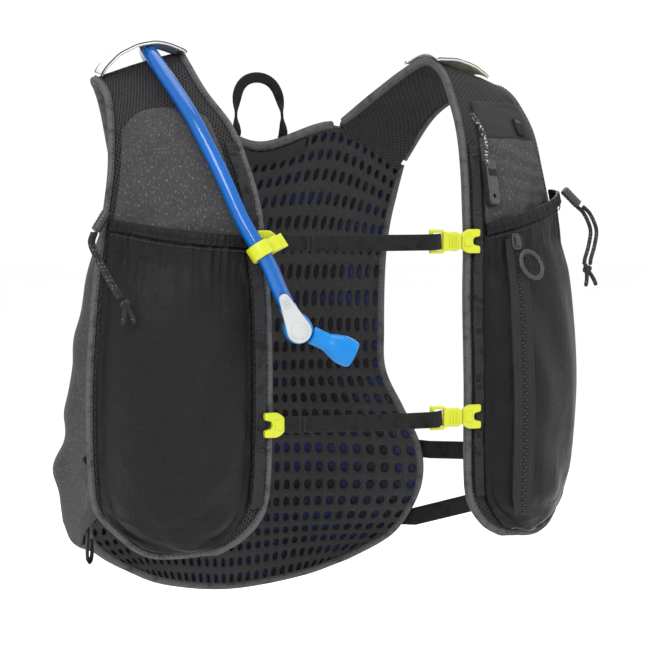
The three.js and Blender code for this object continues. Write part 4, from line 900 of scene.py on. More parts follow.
@dataclass(frozen=True)
class Weave:
    """Woven cloth with crossing yarns and lighter flecks."""

    name: str
    yarn: Colour
    fleck: Colour
    flecks: float = 0.0
    pitch: float = 0.0006
    rip: float = 0.0
    relief: float = 0.00022
    roughness: float = 0.78
    sheen: float = 0.03
    crumple: float = 0.0
    polish: float = 0.12

    def material(self) -> bpy.types.Material:
        """Builds the finish."""
        mix = Mixture(self.name)
        x, y = mix.cloth()
        yarns = mix.maths("MULTIPLY", mix.wave(x, self.pitch), mix.wave(y, self.pitch))
        fibres = mix.noise(1.0, mix.cloth_vector(650.0, 2600.0), 3.0)
        specks = mix.ramp(mix.noise(1.0, mix.cloth_vector(1150.0, 430.0), 1.0), 0.68 - self.flecks, 0.72)
        cloudy = mix.noise(60.0, detail=3.0)
        base = mix.blend(cloudy, tuple(0.78 * part for part in self.yarn), tuple(1.25 * part for part in self.yarn))
        base = mix.blend(mix.ramp(fibres, 0.42, 0.75), base, tuple(1.7 * part for part in self.yarn))
        base = mix.blend(mix.maths("MULTIPLY", specks, min(1.0, self.flecks * 6)), base, self.fleck)
        height = mix.maths("ADD", yarns, mix.maths("MULTIPLY", fibres, 0.5))
        if self.rip:
            lines = mix.maths("MAXIMUM", mix.ramp(mix.wave(x, self.rip), 0.955, 0.995),
                              mix.ramp(mix.wave(y, self.rip), 0.955, 0.995))
            height = mix.maths("ADD", height, mix.maths("MULTIPLY", lines, 1.1))
            base = mix.blend(mix.maths("MULTIPLY", lines, 0.16), base, self.fleck)
        if self.crumple:
            folds = mix.noise(75.0, detail=4.0)
            height = mix.maths("ADD", height, mix.maths("MULTIPLY", folds, self.crumple / self.relief))
        mix.feed(mix.shader.inputs["Base Color"], base)
        rough = mix.maths("ADD", mix.maths("MULTIPLY", fibres, 0.14), self.roughness - 0.07)
        mix.feed(mix.shader.inputs["Roughness"], rough)
        mix.raise_by(height, self.relief)
        mix.set(Sheen_Weight=self.sheen, Sheen_Roughness=0.5, Specular_IOR_Level=self.polish)
        return mix.material


@dataclass(frozen=True)
class Tape:
    """Narrow woven tape or webbing, ribbed across its length."""

    name: str
    yarn: Colour
    ridge: Colour
    rib: float = 0.0011
    twill: float = 0.0018
    relief: float = 0.00028
    roughness: float = 0.74

    def material(self) -> bpy.types.Material:
        """Builds the finish."""
        mix = Mixture(self.name)
        x, y = mix.cloth()
        ribs = mix.wave(y, self.rib)
        slant = mix.wave(mix.maths("ADD", x, mix.maths("MULTIPLY", y, 0.9)), self.twill)
        fibres = mix.noise(1.0, mix.cloth_vector(3000.0, 700.0), 2.0)
        pattern = mix.maths("MULTIPLY", mix.maths("ADD", ribs, mix.maths("MULTIPLY", slant, 0.55)), 0.62)
        base = mix.blend(mix.maths("MULTIPLY", pattern, fibres), self.yarn, self.ridge)
        base = mix.blend(mix.ramp(mix.noise(170.0), 0.45, 0.8), base, tuple(0.6 * part for part in self.yarn))
        mix.feed(mix.shader.inputs["Base Color"], base)
        rough = mix.maths("ADD", mix.maths("MULTIPLY", fibres, 0.16), self.roughness - 0.08)
        mix.feed(mix.shader.inputs["Roughness"], rough)
        mix.raise_by(mix.maths("ADD", pattern, mix.maths("MULTIPLY", fibres, 0.3)), self.relief)
        mix.set(Sheen_Weight=0.02, Sheen_Roughness=0.5, Specular_IOR_Level=0.12)
        return mix.material


@dataclass(frozen=True)
class Moulded:
    """Injection-moulded plastic with a fine grain, slightly polished where it is touched."""

    name: str
    colour: Colour
    roughness: float = 0.36
    grain: float = 0.00004
    subsurface: float = 0.0
    coat: float = 0.0
    gloss: float = 0.5

    def material(self) -> bpy.types.Material:
        """Builds the finish."""
        mix = Mixture(self.name)
        cloudy = mix.noise(90.0, detail=3.0)
        speckle = mix.noise(2600.0)
        darker, lighter = tuple(0.86 * part for part in self.colour), tuple(1.06 * part for part in self.colour)
        mix.feed(mix.shader.inputs["Base Color"], mix.blend(cloudy, darker, lighter))
        handled = mix.maths("ADD", mix.maths("MULTIPLY", cloudy, 0.2), self.roughness - 0.1)
        mix.feed(mix.shader.inputs["Roughness"],
                 mix.maths("ADD", handled, mix.maths("MULTIPLY", speckle, 0.06)))
        mix.raise_by(speckle, self.grain)
        mix.set(Subsurface_Weight=self.subsurface, Subsurface_Scale=0.004, Coat_Weight=self.coat,
                Coat_Roughness=0.12, Specular_IOR_Level=self.gloss)
        return mix.material


@dataclass(frozen=True)
class ClearPlastic:
    """See-through tube or film, deeper in colour where it is thick."""

    name: str
    colour: Colour
    deep: Colour
    clear: float = 0.45
    roughness: float = 0.12

    def material(self) -> bpy.types.Material:
        """Builds the finish."""
        mix = Mixture(self.name)
        streaks = mix.noise(1.0, mix.cloth_vector(260.0, 18.0), 3.0)
        edge = mix.node("ShaderNodeLayerWeight")
        edge.inputs["Blend"].default_value = 0.42
        colour = mix.blend(mix.maths("MULTIPLY", streaks, 0.5), self.colour, self.deep)
        mix.feed(mix.shader.inputs["Base Color"], mix.blend(edge.outputs["Facing"], colour, self.deep))
        rough = mix.maths("ADD", mix.maths("MULTIPLY", streaks, 0.1), self.roughness - 0.05)
        mix.feed(mix.shader.inputs["Roughness"], rough)
        mix.raise_by(streaks, 0.00012)
        mix.set(Transmission_Weight=self.clear, IOR=1.45, Coat_Weight=0.16, Coat_Roughness=0.06,
                Specular_IOR_Level=0.28)
        return mix.material


@dataclass(frozen=True)
class Beaded:
    """Reflective tape of fine glass beads, pale, with a tinted outer part."""

    name: str
    colour: Colour = (0.62, 0.63, 0.62)
    shade: Colour = (0.42, 0.43, 0.44)
    tint: Colour = (0.66, 0.7, 0.36)
    tint_from: float = 1.0
    tint_to: float = 2.0

    def material(self) -> bpy.types.Material:
        """Builds the finish."""
        mix = Mixture(self.name)
        beads = mix.noise(4200.0, detail=1.0)
        scuffs = mix.ramp(mix.noise(55.0, detail=4.0), 0.5, 0.74)
        parts = mix.node("ShaderNodeSeparateXYZ")
        mix.feed(parts.inputs[0], mix.place())
        outer = mix.ramp(mix.maths("ABSOLUTE", parts.outputs[0]), self.tint_from, self.tint_to)
        colour = mix.blend(mix.maths("MULTIPLY", outer, 0.8), self.colour, self.tint)
        colour = mix.blend(mix.maths("MULTIPLY", scuffs, 0.5), colour, self.shade)
        mix.feed(mix.shader.inputs["Base Color"], mix.blend(mix.maths("MULTIPLY", beads, 0.3), colour, self.shade))
        mix.feed(mix.shader.inputs["Roughness"], mix.maths("ADD", mix.maths("MULTIPLY", beads, 0.3), 0.28))
        mix.raise_by(beads, 0.00006)
        mix.set(Metallic=0.25)
        return mix.material


@dataclass(frozen=True)
class Braid:
    """Round braided cord, dark, with lighter flecks where its carriers cross."""

    name: str
    yarn: Colour
    fleck: Colour
    share: float = 0.5
    pitch: float = 0.0016

    def material(self) -> bpy.types.Material:
        """Builds the finish."""
        mix = Mixture(self.name)
        x, y = mix.cloth()
        one = mix.wave(mix.maths("ADD", y, mix.maths("MULTIPLY", x, 1.2)), self.pitch)
        other = mix.wave(mix.maths("SUBTRACT", y, mix.maths("MULTIPLY", x, 1.2)), self.pitch)
        crossing = mix.maths("MULTIPLY", one, other)
        speck = mix.ramp(mix.noise(1.0, mix.cloth_vector(500.0, 650.0), 1.0), 0.62 - self.share * 0.2, 0.66)
        base = mix.blend(crossing, tuple(0.5 * part for part in self.yarn), self.yarn)
        mix.feed(mix.shader.inputs["Base Color"], mix.blend(speck, base, self.fleck))
        mix.raise_by(crossing, 0.0002)
        mix.set(Roughness=0.7, Sheen_Weight=0.03, Sheen_Roughness=0.5, Specular_IOR_Level=0.2)
        return mix.material


class Finish(Enum):
    """The finishes of the vest's pieces."""

    PAD_MESH = KnitMesh("pad_mesh")
    # The backing's last colour is painted blue reflection of the bladder film, blotched into its dark eyelets.
    BACKING = KnitMesh("backing_mesh", (0.02, 0.02, 0.023), (0.002, 0.002, 0.004), 0.0013, 0.0016, 0.0,
                       (0.018, 0.05, 0.34))
    SPACER = Weave("spacer_knit", (0.024, 0.024, 0.025), (0.13, 0.13, 0.132), 0.03, 0.0007, relief=0.0003)
    HEATHER = Weave("heather_cloth", (0.034, 0.0333, 0.0345), (0.2, 0.2, 0.205), 0.085, 0.0007)
    SHELL = Weave("shell_heather", (0.036, 0.0355, 0.037), (0.17, 0.17, 0.175), 0.08, 0.0008, crumple=0.0009)
    RIPSTOP = Weave("ripstop_cloth", (0.0036, 0.0036, 0.0039), (0.03, 0.03, 0.032), 0.0, 0.0004, 0.0035,
                    0.00009, 0.36, 0.01, 0.0022, 0.15)
    FLAP = Weave("flap_cloth", (0.017, 0.017, 0.018), (0.08, 0.08, 0.08), 0.02, 0.0005, relief=0.00016)
    BINDING = Tape("binding_tape", (0.05, 0.05, 0.052), (0.145, 0.145, 0.15), 0.0009, 0.0014)
    WEBBING = Tape("strap_webbing", (0.0038, 0.0038, 0.0042), (0.026, 0.026, 0.027))
    LADDER = Tape("ladder_tape", (0.011, 0.011, 0.012), (0.05, 0.05, 0.052), 0.0012, 0.0022)
    THREAD = Tape("thread", (0.02, 0.02, 0.021), (0.09, 0.09, 0.09), 0.0004, 0.0006, 0.00006)
    PALE_THREAD = Tape("pale_thread", (0.11, 0.11, 0.115), (0.3, 0.3, 0.3), 0.0004, 0.0006, 0.00006)
    YELLOW = Moulded("yellow_clip", (0.43, 0.47, 0.008), 0.34, subsurface=0.06)
    LEVER = Moulded("lever_plastic", (0.4, 0.405, 0.41), 0.42)
    VALVE = Moulded("valve_rubber", (0.001, 0.16, 0.46), 0.3, subsurface=0.15, coat=0.08, gloss=0.2)
    BLACK = Moulded("black_plastic", (0.016, 0.016, 0.017), 0.42)
    TUBE = ClearPlastic("tube", (0.0, 0.17, 0.6), (0.0, 0.075, 0.33))
    FILM = ClearPlastic("bladder_film", (0.02, 0.06, 0.24), (0.02, 0.025, 0.11), 0.1, 0.2)
    REFLECTIVE = Beaded("reflective_tape")
    REFLECTIVE_TINTED = Beaded("reflective_tape_tinted", tint_from=0.103, tint_to=0.125)
    CORD = Braid("drawcord", (0.022, 0.022, 0.023), (0.09, 0.09, 0.09), 0.2)
    FLECKED = Braid("flecked_cord", (0.02, 0.02, 0.021), (0.4, 0.4, 0.39), 0.5)

    def material(self) -> bpy.types.Material:
        """The finish's material, made once."""
        return bpy.data.materials.get(self.value.name) or self.value.material()


@dataclass
class Studio:
    """Camera, soft lights and pale floor."""

    target: tuple[float, float, float] = (0.0113, -0.0058, -0.1638)
    station: tuple[float, float, float] = (-0.7596, -1.5187, -0.0808)
    lens: float = 147.1
    floor_drop: float = 0.52
    floor_reach: float = 14.0
    surround: float = 1.02
    lamps: tuple[tuple[str, tuple[float, float, float], float, float], ...] = (
        ("key_lamp", (-1.6, -1.7, 1.3), 1.3, 52.0),
        ("fill_lamp", (1.9, -1.2, 0.5), 1.5, 13.0),
        ("top_lamp", (0.1, 0.2, 1.7), 1.4, 17.0),
        ("rear_lamp", (0.9, 1.9, 0.7), 1.3, 14.0),
        ("low_lamp", (-0.5, -1.5, -0.9), 1.0, 3.0),
    )

    def build(self) -> None:
        """Makes the camera, the lamps, the surround and the floor."""
        view = bpy.data.cameras.new("camera")
        view.lens, view.sensor_width, view.clip_start = self.lens, 36.0, 0.05
        bpy.context.scene.camera = self.aimed("camera", view, self.station)
        for name, spot, size, power in self.lamps:
            light = bpy.data.lights.new(name, "AREA")
            light.size, light.energy = size, power
            self.aimed(name, light, spot)
        world = bpy.data.worlds.new("surround")
        world.use_nodes = True
        sky = world.node_tree.nodes["Background"]
        sky.inputs[0].default_value = (1.0, 1.0, 1.0, 1.0)
        sky.inputs[1].default_value = self.surround
        bpy.context.scene.world = world
        bpy.context.scene.view_settings.view_transform = "Standard"
        self.floor()

    def aimed(self, name: str, data: bpy.types.ID, spot: tuple[float, float, float]) -> bpy.types.Object:
        """Puts a camera or a lamp at a spot, facing the vest."""
        thing = bpy.data.objects.new(name, data)
        thing.location = spot
        thing.rotation_euler = (Vector(self.target) - Vector(spot)).to_track_quat("-Z", "Y").to_euler()
        bpy.context.scene.collection.objects.link(thing)
        return thing

    def floor(self) -> None:
        """Makes the pale floor."""
        corners = np.array([(-1, -1, 0), (1, -1, 0), (1, 1, 0), (-1, 1, 0)]) * self.floor_reach
        mix = Mixture("pale_floor")
        mix.feed(mix.shader.inputs["Base Color"],
                 mix.blend(mix.noise(3.0), (0.96, 0.96, 0.96), (0.985, 0.985, 0.985)))
        mix.set(Roughness=0.85)
        floor = Form(corners - np.array([0, 0, self.floor_drop]), [(0, 1, 2, 3)]).object("floor", mix.material)


def arc(radius: float, turns: Array, x: float = 0.0) -> list[tuple[float, float]]:
    """Points round a circle whose centre is at x."""
    return [(x + radius * math.cos(turn), radius * math.sin(turn)) for turn in turns]


@dataclass
class DrinkTube:
    """The drinking tube with its clip, shut-off valve and bite sleeve."""

    diameter: float = 0.0095
    valve_diameter: float = 0.017
    valve_length: float = 0.015
    stub_diameter: float = 0.0105
    stub_length: float = 0.015
    valve_face: tuple[float, float, float] = (-0.42, -0.9, 0.05)
    valve_bend: float = 142.0
    lever_length: float = 0.021
    lever_thickness: float = 0.0032
    hub_diameter: float = 0.0145
    tip_diameter: float = 0.0064
    sleeve_length: float = 0.029
    sleeve_neck: float = 0.011
    sleeve_flare: float = 0.0175
    clip_height: float = 0.009
    clip_wall: float = 0.0022
    clip_reach: float = 0.014
    clip_drop: float = 0.113

    def build(self) -> None:
        """Builds the tube and everything on it."""
        route = np.array(HOSE_ROUTE) * MM
        line = even_line(route, 190)
        tube = cord_form(line, self.diameter, 20).object("drinking_tube", Finish.TUBE.material())
        self.frames(route)
        valve, sleeve = self.valve(), self.sleeve()
        self.lever()
        self.clip(line)
        fixed(tube, "hose", "drink_hose")

    def frames(self, route: Array) -> None:
        """Works out where the valve is and which way it faces."""
        down = unit(route[-1] - route[-2])
        self.up = -down
        self.centre = route[-1] + down * (self.stub_length + LAYER_GAP)
        face = np.array(self.valve_face)
        self.axis = unit(face - self.up * np.dot(face, self.up))
        self.aside = unit(np.cross(self.up, self.axis))
        bend = math.radians(self.valve_bend)
        self.mouth = self.up * math.cos(bend) + self.aside * math.sin(bend)

    def valve(self) -> bpy.types.Object:
        """The moulded elbow: a drum with a stub for the tube and a spigot for the sleeve."""
        radius, half = self.valve_diameter / 2, self.valve_length / 2
        drum = lathe_form([
            (radius * 0.3, -half), (radius * 0.86, -half), (radius, -half * 0.84), (radius, -half * 0.3),
            (radius * 0.95, -half * 0.22), (radius * 0.95, -half * 0.08), (radius, 0), (radius, half * 0.8),
            (radius * 0.92, half * 0.96), (radius * 0.86, half), (radius * 0.3, half),
        ], 36)
        bore = self.stub_diameter / 2
        stub = lathe_form([
            (bore * 0.3, 0), (bore * 1.02, 0.0), (bore * 0.98, 0.009), (bore, 0.0105), (bore, 0.0142),
            (bore * 0.93, self.stub_length), (bore * 0.3, self.stub_length),
        ], 28)
        spigot = lathe_form([(0.001, 0), (0.003, 0), (0.003, 0.0155), (0.0026, 0.0163), (0.001, 0.0163)], 20)
        forms = [
            placed(drum, self.centre, self.up, self.axis),
            placed(stub, self.centre, self.axis, self.up),
            placed(spigot, self.centre, self.axis, self.mouth),
        ]
        elbow = merged(forms).object("valve_body", Finish.VALVE.material())
        modified(elbow, "REMESH", mode="VOXEL", voxel_size=0.00042, use_smooth_shade=True)
        modified(elbow, "SMOOTH", factor=0.5, iterations=4)
        return fixed(elbow, "valve", "valve_elbow")

    def lever(self) -> bpy.types.Object:
        """The pale shut-off lever: a round hub that narrows to a fingertip end."""
        hub, tip, length = self.hub_diameter / 2, self.tip_diameter / 2, self.lever_length
        lean = math.asin((hub - tip) / length)
        around_hub = np.linspace(math.pi / 2 - lean, math.pi * 1.5 + lean, 30)
        around_tip = np.linspace(-math.pi / 2 + lean, math.pi / 2 - lean, 18)
        outline = arc(hub, around_hub) + arc(tip, around_tip, length)
        plate = plate_form(outline, [], self.lever_thickness, 0.0009)
        cap = lathe_form([
            (0.0004, -0.001), (hub * 0.72, -0.001), (hub * 0.72, 0.0001), (hub * 0.66, 0.0005),
            (hub * 0.3, 0.00065), (0.0004, 0.00065),
        ], 32)
        squeezed = Form(cap.points * np.array([0.09, 0.42, 1.0]), cap.faces, cap.places)
        grip = merged([squeezed.moved(length * 0.78 + k * 0.0021) for k in range(3)])
        raised = [form.moved(0.0, self.lever_thickness / 2) for form in (cap, grip)]
        body = merged([plate, *raised])
        at = self.centre + self.axis * (self.valve_length / 2 + LAYER_GAP + self.lever_thickness / 2)
        piece = placed(body, at, self.up, self.axis).object("valve_lever", Finish.LEVER.material())
        return fixed(piece, "lever", "shutoff_lever", body="lever")

    def sleeve(self) -> bpy.types.Object:
        """The soft bite sleeve: a ribbed neck and a flattened flare with a slit end."""
        neck, flare, length = self.sleeve_neck / 2, self.sleeve_flare / 2, self.sleeve_length
        marks = np.array([0, 0.02, 0.05, 0.1, 0.13, 0.17, 0.21, 0.25, 0.3, 0.38, 0.46, 0.54, 0.63, 0.72,
                          0.82, 0.9, 0.95, 0.985, 1.0, 1.0, 0.985, 0.95])
        shares = np.array([0.86, 0.96, 1, 1, 0.94, 1, 0.94, 1, 0.97, 1, 1.22, 0.84, 0.95, 1, 1, 0.985, 0.95,
                           0.9, 0.82, 0.4, 0.36, 0.3])
        reach = shares * np.where(np.arange(22) < 11, neck, flare)
        sides, slit_start = 44, 19
        body = lathe_form(list(zip(reach.tolist(), (marks * length).tolist())), sides)
        far = np.clip((body.points[:, 2] / length - 0.4) / 0.5, 0, 1)
        body.points[:, 0] *= 1 - 0.26 * far * far * (3 - 2 * far)
        slit = np.arange(len(body.points)) // sides >= slit_start
        body.points[slit, 0] *= 0.16
        at = self.centre + self.mouth * (self.valve_diameter / 2 + LAYER_GAP)
        piece = placed(body, at, self.axis, self.mouth).object("bite_valve", Finish.VALVE.material())
        modified(piece, "SUBSURF", levels=1, render_levels=1)
        return fixed(piece, "valve", "bite_sleeve")

    def clip(self, line: Array) -> bpy.types.Object:
        """The yellow clip that holds the tube: an open ring with two jaws."""
        spot = int(np.argmax((line[:, 1] < 0) & (line[:, 2] < -self.clip_drop)))
        tangent = unit(line[spot + 1] - line[spot - 1])
        outer = self.diameter / 2 + LAYER_GAP + self.clip_wall
        bore = self.diameter / 2 + 1.3 * LAYER_GAP
        low, high = -outer + 0.9 * self.clip_wall, -outer + 1.9 * self.clip_wall
        end = self.clip_reach + outer
        start_turn, end_turn = math.asin(0.0012 / outer), 2 * math.pi + math.asin(low / outer)
        outline = rounded([
            (outer * 0.75, low), (end, low), (end, high), (outer, high), (outer * 0.98, -0.0008),
            (end * 0.68, -0.0008), (end * 0.68, 0.0012), (outer, 0.0012),
        ], 0.0009, 4)
        outline += arc(outer, np.linspace(start_turn, end_turn, 44))
        hole = arc(bore, np.linspace(0, 2 * math.pi, 40, endpoint=False))
        body = plate_form(outline, [hole], self.clip_height, 0.0006)
        across = np.array([1.0, 0, 0]) - tangent * tangent[0]
        piece = placed(body, line[spot], across, tangent).object("tube_clip", Finish.YELLOW.material())
        return fixed(piece, "yellow", "hose_clip")


def knot_form(centre: Array, fall: Array, diameter: float, size: float, tails: Sequence[Array],
              tail_length: float) -> Form:
    """An overhand knot with its tails.

    Args:
        centre: Middle of the knot.
        fall: The way that the cord comes in.
        diameter: Thickness of the cord.
        size: Diameter of the whole knot.
        tails: Directions of the loose ends.
        tail_length: How far they reach past the knot.

    Returns:
        The knot and its tails.
    """
    turn = np.linspace(0, 2 * math.pi, 61)
    wide = (size - diameter) / 2
    loops = np.stack([
        wide * 0.62 * (np.sin(turn) + 0.55 * np.sin(2 * turn)),
        wide * 0.62 * (np.cos(turn) - 0.55 * np.cos(2 * turn)),
        -wide * 0.5 * np.sin(3 * turn),
    ], axis=1)
    core = cord_form(loops, diameter, 10)
    forms = [placed(core, centre, np.cross(fall, [0.2, 0.9, 0.1]), fall)]
    for way in tails:
        way = unit(np.asarray(way, float))
        aside = unit(np.cross(way, [0, 1.0, 0.2])) * 0.0009
        reach = np.linspace(size * 0.2, size / 2 + tail_length, 14)
        curl = np.sin(np.linspace(0, 2.6, 14))
        line = centre + way * reach[:, None] + aside * curl[:, None]
        swell = np.where(np.arange(14) == 13, 0.7, 1.0)
        forms.append(cord_form(line, diameter * swell, 10))
    return merged(forms)


@dataclass
class DrawCords:
    """The looped drawcords at the pocket mouths with their barrel locks and knots."""

    diameter: float = 0.0026
    lock_diameter: float = 0.006
    lock_length: float = 0.014
    knot_size: float = 0.007
    tail_length: float = 0.009

    def build(self) -> None:
        """Builds both sides."""
        for side in Side:
            self.strands(side)

    def strands(self, side: Side) -> None:
        """The two strands of one side with their lock and knot."""
        route = np.array(DRAWCORD_ROUTES[side.word]) * MM
        apart = self.diameter / 2 + 1.5 * LAYER_GAP
        shift = np.array([side.value * apart * 0.8, -apart * 0.6, 0])
        lock, knot = self.lock(side, route), self.knot(side, route)
        for word, turn in (("front", 1), ("rear", -1)):
            line = even_line(route + shift * turn, 48)
            strand = cord_form(line, self.diameter, 12).object(
                f"elastic_cord_{side.word}_{word}", Finish.CORD.material())
            fixed(strand, "trim", f"drawcord_{side.word}_{word}")

    def lock(self, side: Side, route: Array) -> bpy.types.Object:
        """The ribbed barrel that the cord runs through."""
        leave = unit(route[1] - route[0])
        axis = unit(np.array([-side.value * 0.76, 0, 0.65]) - leave)
        radius, length = self.lock_diameter / 2, self.lock_length
        marks = np.linspace(0, 1, 29)
        ribs = 0.94 + 0.06 * (np.sin(marks * 2 * math.pi * 6) > 0)
        reach = radius * ribs * np.where((marks < 0.03) | (marks > 0.97), 0.82, 1.0)
        bore = radius * 0.45
        profile = [(bore, 0.0), *zip(reach.tolist(), (marks * length).tolist()), (bore, length)]
        body = placed(lathe_form(profile, 26), route[0] + axis * (LAYER_GAP + self.diameter / 2),
                      np.cross(axis, [0, 1, 0]), axis)
        piece = body.object(f"barrel_lock_{side.word}", Finish.BLACK.material())
        return fixed(piece, "trim", f"cordlock_{side.word}")

    def knot(self, side: Side, route: Array) -> bpy.types.Object:
        """The knot at the end of the loop, with two tails."""
        fall = unit(route[-1] - route[-2])
        centre = route[-1] + fall * (self.knot_size / 2 + 1.5 * LAYER_GAP)
        tails = [np.array([lean, fall[1] * 0.7, -1]) for lean in (-0.35, 0.35)]
        body = knot_form(centre, fall, self.diameter, self.knot_size, tails, self.tail_length)
        piece = body.object(f"cord_knot_{side.word}", Finish.CORD.material())
        return fixed(piece, "trim", f"cord_end_{side.word}")


@dataclass
class Whistle:
    """The whistle on its lanyard."""

    cord_diameter: float = 0.0026
    length: float = 0.030
    width: float = 0.008
    depth: float = 0.006
    eye: float = 0.0024
    inset: float = 0.0175

    def build(self) -> None:
        """Builds the lanyard and the whistle."""
        route = np.array(LANYARD_ROUTE) * MM
        line = even_line(route, 44)
        whistle = self.whistle(route)
        cord = cord_form(line, self.cord_diameter, 12).object("lanyard_cord", Finish.FLECKED.material())
        fixed(cord, "reflective", "whistle_lanyard")

    def whistle(self, route: Array) -> bpy.types.Object:
        """The flat whistle with its eye, end cap and sound slot."""
        drop = -route[-1][2] + self.length / 2
        v = front_v(np.array(0.2), np.array(drop))
        u = self.inset / FRONT.width(v)
        half, wide = self.length / 2, self.width / 2
        outline = rounded([
            (-half, -wide * 0.6), (-half + 0.002, -wide), (half - 0.002, -wide), (half, -wide * 0.7),
            (half, wide * 0.7), (half - 0.002, wide), (-half + 0.002, wide), (-half, wide * 0.6),
        ], 0.0012, 4)
        eye = arc(self.eye / 2, np.linspace(0, 2 * math.pi, 20, endpoint=False), half * 0.62)
        slot = [(-0.0075, -0.0026), (-0.0045, -0.0026), (-0.0045, 0.0026), (-0.0075, 0.0026)]
        body = plate_form(outline, [eye, slot], self.depth, 0.0009)
        band = plate_form(rounded([(0.0058, -wide * 1.03), (0.0072, -wide * 1.03), (0.0072, wide * 1.03),
                                   (0.0058, wide * 1.03)], 0.0004, 3), [], self.depth * 1.04, 0.0003)
        face = FRONT.normal(u, v)
        down = -unit(FRONT.along(u, v))
        at = FRONT.lifted(u, v, PANEL_FACE + 1.5 * LAYER_GAP + self.depth / 2)
        piece = placed(merged([body, band]), at, down, face).object("safety_whistle", Finish.BLACK.material())
        return fixed(piece, "trim", "whistle")


def binding_section(thickness: float, turn: float) -> Array:
    """Section of a folded edge tape, from the edge inward, standing a little proud of its sheet."""
    middle, half = thickness / 2, thickness / 2 + BINDING_PROUD
    below = [(0.0005, -0.62), (0.0013, -0.93), (0.0024, -1.0), (0.0037, -0.98), (0.0045, -0.86), (0.0046, -0.6)]
    shape = [(0.0002, 0.0), *below, *((x, -y) for x, y in reversed(below))]
    return np.array([(x, turn * (middle + half * y)) for x, y in shape])


def rim_frames(net: Net, trail: Array, turn: float) -> tuple[Array, Array, Array]:
    """Points, inward directions and face directions along an edge.

    Args:
        net: The sheet.
        trail: Places u and v along its edge.
        turn: 1, or -1 where the trail runs the other way round.

    Returns:
        The points, the directions into the sheet and the directions off it.
    """
    line = net.at(trail[:, 0], trail[:, 1])
    face = net.normal(trail[:, 0], trail[:, 1]) * turn
    side = unit(np.cross(face, tangents(line)))
    return line, side, unit(np.cross(tangents(line), side))


def edge_trail(steps: int, corner: int, start: float, end: float) -> Array:
    """Places down one side of a net, along its far row and back up the other side."""
    down = [(0.0, v) for v in np.linspace(start, end, steps + 1)]
    far = [(k / corner, end) for k in range(1, corner)]
    up = [(1.0, v) for v in np.linspace(end, start, steps + 1)]
    return np.array(down + far + up)


def smooth_rim(net: Net, trail: Array, turn: float, count: int) -> tuple[Array, Array, Array]:
    """Rim frames in even, softened steps, so that a tape turns its corners without a crease."""
    line, side, face = rim_frames(net, trail, turn)
    length = walked(line)
    goal = np.linspace(0, length[-1], count)
    parts = []
    for values in (line, side, face):
        even = np.stack([np.interp(goal, length, values[:, k]) for k in range(3)], axis=1)
        for _ in range(6):
            even[1:-1] = even[1:-1] * 0.5 + (even[:-2] + even[2:]) * 0.25
        parts.append(even)
    line, face = parts[0], unit(parts[2])
    side = unit(parts[1] - face * np.sum(parts[1] * face, axis=1, keepdims=True))
    return line, side, face


def inset_places(net: Net, a: Array, b: Array,
                 margins: tuple[float, float, float, float]) -> tuple[Array, Array]:
    """Places for shares across and along a sheet that is inset from each edge.

    Args:
        net: The sheet.
        a: Shares across.
        b: Shares along, from v = 0 to v = 1.
        margins: Insets in metres at u = 0, u = 1, v = 0 and v = 1.

    Returns:
        The places u and v.
    """
    deep = np.linalg.norm(net.along(np.full_like(b, 0.5), b), axis=-1)
    v = margins[2] / deep + b * (1 - (margins[2] + margins[3]) / deep)
    start = margins[0] / np.linalg.norm(net.across(np.zeros_like(v), v), axis=-1)
    end = margins[1] / np.linalg.norm(net.across(np.ones_like(v), v), axis=-1)
    return start + a * (1 - start - end), v


def cloth_places(points: Array) -> Array:
    """Distances across and along a grid of points, in metres, from its middle column and first row."""
    across = np.concatenate([
        np.zeros((len(points), 1)), np.cumsum(np.linalg.norm(np.diff(points, axis=1), axis=2), axis=1)], axis=1)
    across -= across[:, across.shape[1] // 2][:, None]
    middle = points[:, points.shape[1] // 2]
    along = walked(middle)
    return np.stack([across, np.broadcast_to(along[:, None], across.shape)], axis=-1)


